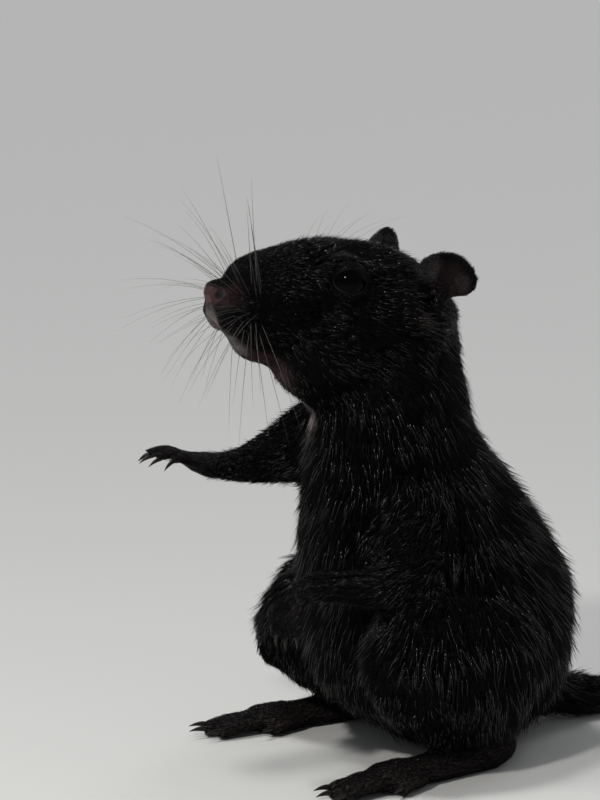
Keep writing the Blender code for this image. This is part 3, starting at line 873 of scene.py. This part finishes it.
# The eyes. Two black glossy balls with a slightly raised clear front. Each sits in its socket in
# the skin, behind the lids.
def streaked_material(title, roughness, gloss, streaks, dark, pale):
    """A hard smooth surface that wanders between a dark and a paler colour."""
    material = bpy.data.materials.new(title)
    material.use_nodes = True
    tree = material.node_tree
    shader = tree.nodes["Principled BSDF"]
    shader.inputs["Roughness"].default_value = roughness
    shader.inputs["Specular IOR Level"].default_value = gloss
    place = node(tree, "ShaderNodeTexCoord")
    wander = node(tree, "ShaderNodeTexNoise", **streaks)
    ramp = node(tree, "ShaderNodeValToRGB")
    ramp.color_ramp.elements[0].color = (*dark, 1.0)
    ramp.color_ramp.elements[1].color = (*pale, 1.0)
    tree.links.new(place.outputs["Object"], wander.inputs["Vector"])
    tree.links.new(wander.outputs["Fac"], ramp.inputs["Fac"])
    tree.links.new(ramp.outputs["Color"], shader.inputs["Base Color"])
    return material


eye_black = streaked_material("eye_black", 0.03, 0.045, {"Scale": 1500.0, "Detail": 3.0},
                              (0.0003, 0.00025, 0.00025), (0.0008, 0.0006, 0.0005))
cornea_rise = 0.10
cornea_half_angle = math.radians(48.0)
for side, centre in eye_centres.items():
    deselect()
    bpy.ops.mesh.primitive_uv_sphere_add(segments=64, ring_count=40, radius=eye_radius * MM,
                                         location=centre)
    eye = bpy.context.object
    eye.name = f"eyeball_{side}"
    bpy.ops.object.transform_apply(location=True, rotation=True, scale=True)
    outward = eye_axes(side)[0]
    offset = points_of(eye.data) - np.array(centre)
    angle = np.arccos(np.clip(offset @ outward / (eye_radius * MM), -1, 1))
    rise = cornea_rise * np.cos(np.clip(angle / cornea_half_angle, 0, 1) * math.pi / 2) ** 2
    set_points(eye.data, np.array(centre) + offset * (1 + rise / eye_radius)[:, None])
    bpy.ops.object.shade_smooth()
    eye.data.materials.append(eye_black)
    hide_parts(f"eye_{side}")
    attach(eye, "root")


# The claws. Each is a small curved cone of dark streaked horn that grows from the end of its
# finger or toe. Its root is sunk in the skin.
claw_sides = 10
claw_rings = 7
claw_width = {"fore": 0.36, "hind": 0.46}
claw_flatness = 0.72
claw_hook = 0.308
claw_taper = 0.94
claw_taper_power = 1.7
claw_root_depth = 0.9 * MM
claw_horn = streaked_material("claw_horn", 0.32, 0.20, {"Scale": 2200.0, "Detail": 3.0},
                              (0.009, 0.007, 0.0065), (0.020, 0.016, 0.014))


def claw_ends(name, paw):
    """The middle of a claw's root and its tip."""
    points = points_of(frame["nodes"][name].data)
    away = np.linalg.norm(points - np.array(node_centre(paw)), axis=1)
    order = np.argsort(away)
    root_points = points[order[:max(4, len(points) // 3)]]
    return root_points.mean(0), points[order[-1]]


for name in sorted(n for n in frame["nodes"] if n.startswith("claw_")):
    limb, side = name.split("_")[1:3]
    paw = f"forepaw_{side}" if limb == "fore" else f"hind_foot_{side}"
    root, tip = claw_ends(name, paw)
    along = tip - root
    length = np.linalg.norm(along)
    along = along / length
    across = np.cross(along, (0, 0, 1.0))
    across = across / max(np.linalg.norm(across), 1e-9)
    over = np.cross(across, along)
    start = root - along * claw_root_depth
    bpy.ops.mesh.primitive_cylinder_add(vertices=claw_sides, radius=1.0, depth=1.0,
                                        end_fill_type="TRIFAN")
    claw = bpy.context.object
    claw.name = f"{name}_horn"
    bpy.ops.object.mode_set(mode="EDIT")
    bpy.ops.mesh.select_all(action="DESELECT")
    bpy.ops.object.mode_set(mode="OBJECT")
    for edge in claw.data.edges:
        a, b = (claw.data.vertices[i].co for i in edge.vertices)
        edge.select = abs(a.z - b.z) > 0.5
    bpy.ops.object.mode_set(mode="EDIT")
    bpy.ops.mesh.select_mode(type="EDGE")
    bpy.ops.mesh.subdivide(number_cuts=claw_rings)
    bpy.ops.object.mode_set(mode="OBJECT")
    local = points_of(claw.data)
    s = np.clip(local[:, 2] + 0.5, 0, 1)
    width = claw_width[limb] * MM * (1.0 - s ** claw_taper_power * claw_taper)
    full = length + claw_root_depth
    hook = claw_hook * full * s * (1.0 - s)
    sideways = local[:, 0] * width * claw_flatness
    shaped = (start + along * (s * full)[:, None] + over * (hook + local[:, 1] * width)[:, None]
              + across * sideways[:, None])
    set_points(claw.data, shaped)
    bpy.ops.object.mode_set(mode="EDIT")
    bpy.ops.mesh.select_all(action="SELECT")
    bpy.ops.mesh.normals_make_consistent(inside=False)
    bpy.ops.object.mode_set(mode="OBJECT")
    bpy.ops.object.shade_smooth()
    claw.data.materials.append(claw_horn)
    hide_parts(name)
    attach(claw, "root")


# The coat. Short flat fur of solid tufts stands all over the hide. Each tuft is a thin closed
# spindle of a few hairs, rooted in the skin, that rises a little and then lies along the body.
# It is longest on the back and flanks, and shortest on the nose, the paws and the ears.
# The table gives a tuft's length and width in millimetres, and the tufts on a square one.
coat = {
    "head": (2.5, 0.13, 22),
    "neck": (4.0, 0.17, 13),
    "chest": (5.0, 0.20, 9.5),
    "abdomen": (5.5, 0.21, 9),
    "ear": (0.80, 0.050, 34),
    "upper_arm": (3.2, 0.17, 12),
    "forearm": (2.0, 0.14, 16),
    "forepaw": (1.35, 0.085, 28),
    "thigh": (4.8, 0.20, 9),
    "lower_leg": (2.4, 0.15, 13),
    "hind_foot": (1.1, 0.10, 18),
    "tail": (2.8, 0.15, 13),
}
snout_coat = (1.25, 0.095, 34)
nose_coat = (0.5, 0.06, 40)
lid_coat = (0.7, 0.07, 34)
snout_coat_run = (4.0, 12.5)
nose_coat_run = (14.8, 16.4)
lid_coat_run = (0.2, 2.2)
lid_coat_height = 3
head_lie = (-1.0, 0.0, -0.12)
ear_lie = (-0.3, 0.3, 1.0)
body_lie = {"neck": (0, 0.22, -1.0), "chest": (0, 0.12, -1.0), "abdomen": (0, 0.45, -0.9),
            "thigh": (0, -0.15, -1.0), "lower_leg": (0, 0.1, -1.0)}
rng = np.random.default_rng(11)


def normalized(vectors):
    return vectors / np.maximum(np.linalg.norm(vectors, axis=1), 1e-12)[:, None]


def towards(start, end):
    return np.array((node_centre(end) - node_centre(start)).normalized())


def lie_of(name):
    """Which way the fur lies on a part."""
    kind = kind_of(name)
    side = "left" if name.endswith("left") else "right"
    if kind == "head":
        return np.array(head_direction(*head_lie))
    if kind == "tail":
        number = min(int(name.split("_")[1]), 4)
        return towards(f"tail_{number}", f"tail_{number + 1}")
    if kind == "upper_arm":
        return towards(name, f"forearm_{side}")
    if kind == "forearm":
        return towards(name, f"forepaw_{side}")
    if kind in ("forepaw", "hind_foot"):
        way = np.mean(claw_places[name], axis=0) - np.array(node_centre(name))
        return way / np.linalg.norm(way)
    if kind == "ear":
        return np.array(head_direction(*on_side([ear_lie], side_signs[side])[0]))
    return np.array(body_lie[kind], float)


skin_edges = edges_of(skin.data)
skin_normals = normals_of(skin.data)
local = head_local(skin_points)
on_head = owned_by(owners, "head")
lie = normalized(spread(np.array([lie_of(name) for name in flesh])[owners], skin_edges, rounds=60))
lie = normalized(lie - skin_normals * np.sum(lie * skin_normals, axis=1)[:, None])


def coat_value(index):
    """One of the coat's sizes over the whole skin, passing evenly from part to part."""
    values = np.array([coat[kind][index] for kind in kinds], float)[owners]
    for run, there in ((snout_coat_run, snout_coat), (nose_coat_run, nose_coat)):
        share = smoothstep(*run, local[:, 0]) * on_head
        values = values + (there[index] - values) * share
    for side in side_signs:
        outside, reach = lid_opening(skin_points, side)
        near = 1.0 - smoothstep(*lid_coat_run, outside)
        values = values + (lid_coat[index] - values) * near * (reach < eye_radius + lid_coat_height)
    return spread(values, skin_edges, rounds=20)


length_field, width_field, density_field = (coat_value(index) for index in range(3))
depth_field = spread(depth_over(skin_points, owners), skin_edges, rounds=30)

# The tail ends in a brush: towards its end the tufts grow longer, and they draw together to a
# point beyond it.
brush_hair = 9.5
brush_length = 8.0
brush_spread = 0.8
brush_run = (8.0, 32.0)
end_band = 0.6 * MM
last_length = skin_points[np.array([name == "tail_5" for name in flesh])[owners]]
from_tail_4 = np.linalg.norm(last_length - np.array(node_centre("tail_4")), axis=1)
tail_end = last_length[from_tail_4 > from_tail_4.max() - end_band].mean(axis=0)
tail_axis = tail_end - np.array(node_centre("tail_5"))
brush_point = tail_end + tail_axis / np.linalg.norm(tail_axis) * brush_length * MM
on_brush = np.array([name in ("tail_4", "tail_5") for name in flesh])[owners]
from_end = np.linalg.norm(skin_points - tail_end, axis=1) / MM
brush_share = (1.0 - smoothstep(*brush_run, from_end)) * on_brush
length_field = length_field + (brush_hair - length_field) * brush_share

# No fur grows within the lids, on the nose's tip, in its openings and between the digits.
lid_bare_width = 0.06
lid_bare_height = 1.2
nose_tip = (17.3, 0, -6.6)
nose_tip_radius = 1.1
opening_bare = 0.25
gap_bare = 0.35


def is_bare(points):
    bare = np.linalg.norm(head_local(points) - nose_tip, axis=1) < nose_tip_radius
    for side in side_signs:
        outside, reach = lid_opening(points, side)
        bare |= (outside < lid_bare_width) & (reach < eye_radius + lid_bare_height)
    return bare | (nose_openings(points) > opening_bare) | (between_digits(points) > gap_bare)


density_field = density_field * (1.0 - is_bare(skin_points))

triangles = np.empty(len(skin.data.polygons) * 3, np.int64)
skin.data.polygons.foreach_get("vertices", triangles)
triangles = triangles.reshape(-1, 3)
corners = skin_points[triangles]
crossed = np.cross(corners[:, 1] - corners[:, 0], corners[:, 2] - corners[:, 0])
triangle_area = 0.5 * np.linalg.norm(crossed, axis=1) / MM ** 2
triangle_owner = owners[triangles[:, 0]]
triangle_middle = corners.mean(1)
skin_tree = BVHTree.FromPolygons([Vector(p) for p in skin_points], triangles.tolist())
map_border = 0.003
island_gap = 0.004
flattest_fold = math.radians(70)


def unwrap(chosen):
    """Unwraps a stretch of the skin's own surface and returns each triangle's corners on the map."""
    used, where = np.unique(triangles[chosen], return_inverse=True)
    mesh = bpy.data.meshes.new("stretch")
    mesh.from_pydata([tuple(p) for p in skin_points[used]], [], where.reshape(-1, 3).tolist())
    stretch = bpy.data.objects.new("stretch", mesh)
    bpy.context.scene.collection.objects.link(stretch)
    activate(stretch)
    bpy.ops.object.mode_set(mode="EDIT")
    bpy.ops.mesh.select_all(action="SELECT")
    bpy.ops.uv.smart_project(angle_limit=flattest_fold, island_margin=island_gap)
    bpy.ops.object.mode_set(mode="OBJECT")
    uv = np.empty(len(mesh.loops) * 2, np.float32)
    mesh.uv_layers.active.data.foreach_get("uv", uv)
    bpy.data.objects.remove(stretch)
    bpy.data.meshes.remove(mesh)
    uv = uv.reshape(-1, 3, 2).astype(float)
    low = uv.min((0, 1))
    high = uv.max((0, 1))
    return map_border + (1.0 - 2 * map_border) * (uv - low) / (high - low)


wave_count = 7
wave_sizes = (0.6, 1.6)
wave_height = 1.6


def noise_waves(points, size_mm, seed):
    """A smooth wandering value over the body, mostly from -1 to 1, from crossed waves."""
    waves = np.random.default_rng(seed)
    value = np.zeros(len(points))
    for _ in range(wave_count):
        direction = waves.normal(size=3)
        direction = direction / np.linalg.norm(direction)
        rate = 2 * math.pi / (size_mm * MM * waves.uniform(*wave_sizes))
        value += np.sin(points @ direction * rate + waves.uniform(0, 2 * math.pi))
    return value / math.sqrt(wave_count / 2) / wave_height


# Each tuft has a small patch of the map at its root's place.
patch = 0.003
ring_angles = np.radians((90.0, 210.0, 330.0))
tuft_half_width = 0.5
tuft_half_height = 0.32


def spindle_mesh(name, stations, ups, sides, widths, uv_roots, colors):
    """Joins all of a piece's tufts into one mesh. Each is a closed spindle of three sides through
    its stations: a root point, one or more rings, and a tip point."""
    count, steps = stations.shape[:2]
    rings = steps - 2
    per = 2 + 3 * rings
    points = np.empty((count, per, 3))
    points[:, 0] = stations[:, 0]
    points[:, -1] = stations[:, -1]
    for ring in range(rings):
        for k, angle in enumerate(ring_angles):
            offset = sides * math.cos(angle) * tuft_half_width + ups * math.sin(angle) * tuft_half_height
            points[:, 1 + 3 * ring + k] = stations[:, 1 + ring] + offset * widths[:, ring, None]
    faces = []
    chart = []
    for k in range(3):
        m = (k + 1) % 3
        left = -0.5 + k / 3
        right = left + 1 / 3
        faces.append((0, 1 + m, 1 + k))
        y = -0.5 + 1 / (rings + 1)
        chart.append(((left + right) / 2, -0.5, right, y, left, y))
        for ring in range(rings - 1):
            a = 1 + 3 * ring
            b = a + 3
            y = -0.5 + (ring + 1) / (rings + 1)
            z = y + 1 / (rings + 1)
            faces.append((a + k, a + m, b + m))
            chart.append((left, y, right, y, right, z))
            faces.append((a + k, b + m, b + k))
            chart.append((left, y, right, z, left, z))
        a = 1 + 3 * (rings - 1)
        y = -0.5 + rings / (rings + 1)
        faces.append((a + k, a + m, per - 1))
        chart.append((left, y, right, y, (left + right) / 2, 0.5))
    faces = np.array(faces)
    chart = np.array(chart).reshape(len(faces), 3, 2) * patch
    every_face = (faces[None] + (np.arange(count) * per)[:, None, None]).reshape(-1, 3)
    mesh = bpy.data.meshes.new(name)
    mesh.vertices.add(count * per)
    mesh.vertices.foreach_set("co", points.reshape(-1).astype(np.float32))
    mesh.loops.add(len(every_face) * 3)
    mesh.loops.foreach_set("vertex_index", every_face.reshape(-1).astype(np.int32))
    mesh.polygons.add(len(every_face))
    mesh.polygons.foreach_set("loop_start", np.arange(0, len(every_face) * 3, 3, dtype=np.int32))
    mesh.update(calc_edges=True)
    uv = (np.clip(uv_roots, patch, 1 - patch)[:, None, None, :] + chart[None]).reshape(-1)
    layer = mesh.uv_layers.new(name="OFBake")
    layer.data.foreach_set("uv", uv.astype(np.float32))
    mesh.shade_smooth()
    store_colors(mesh, np.repeat(colors, per, axis=0))
    piece = bpy.data.objects.new(name, mesh)
    bpy.context.scene.collection.objects.link(piece)
    return piece


# How a tuft stands. It turns a little from the lie in waves and by chance, rises to the coat's
# depth, and falls back towards the skin along its reach. Guard hairs are longer and prouder.
turn_waves = ((0.20, 6.0, 3), (0.16, 1.6, 4))
turn_scatter = 0.10
brush_turn = 0.6
size_scatter = (0.72, 1.12)
width_scatter = (0.75, 1.25)
rise_waves = (0.10, 2.5, 5)
rise_power = 1.7
steepest = 0.75
least_reach = 0.2
most_fall = 0.45
brush_rise = 0.75
root_depth = 0.05 * MM
floor_clearance = 0.12 * MM
guard_share = 0.07
guard_length = 1.18
guard_rise = 1.38
guard_width = 0.8
short_marks = (0.0, 0.38, 1.0)
long_marks = (0.0, 0.3, 0.68, 1.0)
long_narrowing = 0.8
top_width = 1.1
top_rise = 1.55
glint_mean = 0.75
glint_waves = (0.95, 7.0, 8)
glint_limits = (0.05, 2.2)


def wave(points, amount, size_mm, seed):
    return amount * noise_waves(points, size_mm, seed)


def grow(name, chosen, finish, thickness=1.0, long=False, top=False):
    """Grows one piece of the coat on the chosen triangles of the skin. Top hairs are the few
    longer glossy ones that stand just over the rest, in patches."""
    density = density_field[triangles[chosen]].mean(1) * thickness
    if top:
        density = density * np.clip(glint_mean + wave(triangle_middle[chosen], *glint_waves), *glint_limits)
    weight = triangle_area[chosen] * density
    total = weight.sum()
    count = int(total)
    steps = (np.arange(count) + rng.random(count)) / count * total
    picked = np.minimum(np.searchsorted(np.cumsum(weight), steps), len(chosen) - 1)
    a, b = np.sort(rng.random((2, count)), axis=0)
    share = np.stack((a, b - a, 1 - b), axis=1)
    face = chosen[picked]

    def at(field):
        return np.einsum("ij,ij...->i...", share, field[triangles[face]])

    root = at(skin_points)
    up = normalized(at(skin_normals))
    along = at(lie)
    length = at(length_field)
    width = at(width_field) * (top_width if top else 1.0)
    depth = at(depth_field)
    brush = at(brush_share)
    uv_root = np.einsum("ij,ijk->ik", share, unwrap(chosen)[picked])
    along = normalized(along - up * np.sum(along * up, axis=1)[:, None])
    side = np.cross(up, along)
    turn = sum(wave(root, *waves) for waves in turn_waves) + rng.normal(0, turn_scatter, count)
    turn = turn * (1.0 - brush_turn * brush)
    along = along * np.cos(turn)[:, None] + side * np.sin(turn)[:, None]
    side = np.cross(up, along)
    guard = rng.random(count) < (1.0 if top else guard_share)
    length = length * rng.uniform(*size_scatter, count) * np.where(guard, guard_length, 1.0)
    rise = depth * rng.uniform(*size_scatter, count) * (1.0 + wave(root, *rise_waves))
    rise = np.minimum(rise * np.where(guard, top_rise if top else guard_rise, 1.0), steepest * length)
    rise = rise * (1.0 - brush_rise * brush)
    reach = np.sqrt(np.maximum(length ** 2 - rise ** 2, least_reach * length ** 2))
    far = root + along * (reach * MM)[:, None]
    fall = np.array([skin_tree.find_nearest(p)[0] for p in far]) - far
    fall_size = np.linalg.norm(fall, axis=1)
    fall = fall * np.minimum(1.0, most_fall * reach * MM / np.maximum(fall_size, 1e-9))[:, None]
    gather = brush_point + rng.normal(0, brush_spread * MM, (count, 3)) - root
    gather = gather * np.minimum(1.0, length * MM / np.linalg.norm(gather, axis=1))[:, None]
    brush = brush[:, None]

    def station(s):
        lift = rise * (1.0 - (1.0 - s) ** rise_power)
        run = along * (reach * s * MM)[:, None] + fall * s ** 2
        return root + run * (1.0 - brush) + gather * s * brush + up * (lift * MM)[:, None]

    stations = np.stack([station(s) for s in (long_marks if long else short_marks)], axis=1)
    stations[:, 0] -= up * root_depth
    stations[:, :, 2] = np.maximum(stations[:, :, 2], floor_clearance)
    wide = width * rng.uniform(*width_scatter, count) * np.where(guard, guard_width, 1.0) * MM
    widths = np.stack([wide, wide * long_narrowing] if long else [wide], axis=1)
    piece = spindle_mesh(name, stations, up, side, widths, uv_root, fur_colors(root))
    piece.data.materials.append(finish)
    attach(piece, "root")


fur_mottle = {"Scale": 260.0, "Detail": 3.0, "Roughness": 0.55}
fur_tones = {"From Min": 0.3, "From Max": 0.7, "To Min": 0.62, "To Max": 1.5}
fur = marked_material("fur", 0.34, 0.09, fur_mottle, fur_tones)
top_hair = marked_material("top_hair", 0.24, 0.75, fur_mottle, fur_tones)
brow_line = 2.0
least_density = 0.5
leftward = (triangle_middle[:, 0] - float(node_centre("abdomen").x)) > 0
head_left = head_local(triangle_middle)[:, 1] > 0
front = head_local(triangle_middle)[:, 0] > brow_line
furred = density_field[triangles].mean(1) > least_density


def on(*parts):
    return owned_by(triangle_owner, *parts) & furred


coat_pieces = {
    "fur_face_left": on("head") & front & head_left,
    "fur_face_right": on("head") & front & ~head_left,
    "fur_crown_left": on("head") & ~front & head_left,
    "fur_crown_right": on("head") & ~front & ~head_left,
    "fur_neck": on("neck"),
    "fur_chest": on("chest"),
    "fur_belly_left": on("abdomen") & leftward,
    "fur_belly_right": on("abdomen") & ~leftward,
    "fur_arms": on("upper_arm", "forearm"),
    "fur_haunch_left": on("thigh", "lower_leg") & leftward,
    "fur_haunch_right": on("thigh", "lower_leg") & ~leftward,
    "fur_ears": on("ear"),
    "fur_paws": on("forepaw", "hind_foot"),
    "fur_tail": on("tail"),
}
thicker = {"fur_face_left": 1.7, "fur_face_right": 1.7, "fur_crown_left": 1.3, "fur_crown_right": 1.3,
           "fur_neck": 1.35, "fur_chest": 1.3, "fur_belly_left": 1.2, "fur_belly_right": 1.2}
for name, where in coat_pieces.items():
    grow(name, np.nonzero(where)[0], fur, thicker.get(name, 1.0), long=name == "fur_tail")

limbs = ("upper_arm", "forearm", "forepaw", "thigh", "lower_leg", "hind_foot", "tail")
top_pieces = {
    "top_hairs_head": (on("head", "ear"), 0.09),
    "top_hairs_body": (on("neck", "chest", "abdomen"), 0.095),
    "top_hairs_limbs": (on(*limbs), 0.13),
}
for name, (where, share) in top_pieces.items():
    grow(name, np.nonzero(where)[0], top_hair, share, top=True)


# The whiskers. Long tapering hairs stand in five rows on each side of the muzzle, with a few
# finer ones over the eyes and before the ears. Each is rooted in the skin and bows to its tip.
# Down a row each is swept back, splayed and grown by so much more than the one before.
whisker_rows = 5
whiskers_in_row = 6
upper_rows = 3
upper_steps = (0.11, 0.03, 2.9)
lower_steps = (0.17, 0.08, 1.5)
whisker_stations = 12
whisker_width = 0.115
whisker_taper = 0.86
whisker_taper_power = 1.2
first_root = (15.2, -4.0)
column_step = (-0.72, -0.04)
row_step = (-0.12, -1.28)
first_heading = (1.05, 0.26, 0.92)
heading_row_step = (-0.12, -0.43)
shortest_whisker = 10.0
brow_hairs = 4
brow_width = 0.060
brow_root = (4.4, 3.2)
brow_step = (-1.5, 0.25)
brow_heading = (-0.15, 0.40, 0.95)
brow_sweep = -0.12
brow_length = 7.5
brow_growth = 1.6
ear_hair = ((-7.5, 4.6), (-0.55, 0.35, 0.85), 9.0)
whisker_hairs = []
for sign in side_signs.values():
    for row in range(whisker_rows):
        sweep, splay, growth = upper_steps if row < upper_rows else lower_steps
        for column in range(whiskers_in_row):
            root = (first_root[0] + column_step[0] * column + row_step[0] * row,
                    first_root[1] + row_step[1] * row + column_step[1] * column)
            heading = (first_heading[0] - sweep * column + heading_row_step[0] * row,
                       sign * (first_heading[1] + splay * column),
                       first_heading[2] + heading_row_step[1] * row)
            whisker_hairs.append((sign, root, heading, shortest_whisker + growth * column, whisker_width))
    for brow in range(brow_hairs):
        root = (brow_root[0] + brow_step[0] * brow, brow_root[1] + brow_step[1] * brow)
        heading = (brow_heading[0] + brow_sweep * brow, sign * brow_heading[1], brow_heading[2])
        whisker_hairs.append((sign, root, heading, brow_length + brow_growth * brow, brow_width))
    root, heading, length = ear_hair
    whisker_hairs.append((sign, root, (heading[0], sign * heading[1], heading[2]), length, brow_width))

# Each hair is shortened until it stays within the room that the solids' box leaves it.
box_margin = 0.001
box_share = 0.03
box_room = 0.010
most_tries = 60
shortening = 0.95
side_clearance = 20.0
heading_scatter = 0.10
length_scatter = (0.85, 1.15)
bow_back = -0.20
bow_down = -0.42
bow_scatter = 0.25
bow_share = 0.42
whisker_root_depth = 0.15 * MM
sides_of_box = np.array(cad_high) - np.array(cad_low)
room_low = np.array(cad_low) - sides_of_box * box_share - box_room + box_margin
room_high = np.array(cad_high) + sides_of_box * box_share + box_room - box_margin
along_hair = np.linspace(0.0, 1.0, whisker_stations)
stations = []
ups = []
sides = []
widths = []
root_triangles = []
for sign, (forward, up), heading, length, width in whisker_hairs:
    start = in_head(forward, sign * side_clearance, up)
    inward = head_direction(0, -sign, 0)
    hit, normal, index, away = skin_tree.ray_cast(start, inward)
    if hit is None:
        continue
    root = np.array(hit)
    jitter = rng.normal(0, heading_scatter, 3)
    heading = np.array(head_direction(*(np.array(heading) + jitter)).normalized())
    bow = np.array(head_direction(bow_back, 0.0, bow_down - bow_scatter * rng.random()))
    length = length * rng.uniform(*length_scatter)
    s = along_hair[:, None]
    for _ in range(most_tries):
        path = root + (heading * s + bow * bow_share * s ** 2) * length * MM
        if np.all(path > room_low) and np.all(path < room_high):
            break
        length = length * shortening
    path[0] = root - np.array(normal) * whisker_root_depth
    across = np.cross(heading, bow)
    across = across / np.linalg.norm(across)
    stations.append(path)
    sides.append(across)
    ups.append(np.cross(across, heading))
    taper = 1.0 - whisker_taper * along_hair[1:-1] ** whisker_taper_power
    widths.append(width * MM * taper)
    root_triangles.append(index)

# Like a tuft, each hair has its patch of the map at its root's place on the face.
face_triangles = np.nonzero(owned_by(triangle_owner, "head"))[0]
face_map = unwrap(face_triangles).mean(1)
face_middles = triangle_middle[face_triangles]
places = [int(np.argmin(np.linalg.norm(face_middles - triangle_middle[i], axis=1))) for i in root_triangles]
whisker_grey = np.tile((0.050, 0.043, 0.038), (len(stations), 1))
whiskers = spindle_mesh("whiskers", np.array(stations), np.array(ups), np.array(sides), np.array(widths),
                        face_map[places], whisker_grey)
whisker_hair = streaked_material("whisker_hair", 0.28, 0.5, {"Scale": 420.0, "Detail": 2.0},
                                 (0.030, 0.026, 0.023), (0.100, 0.088, 0.078))
whiskers.data.materials.append(whisker_hair)
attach(whiskers, "root")
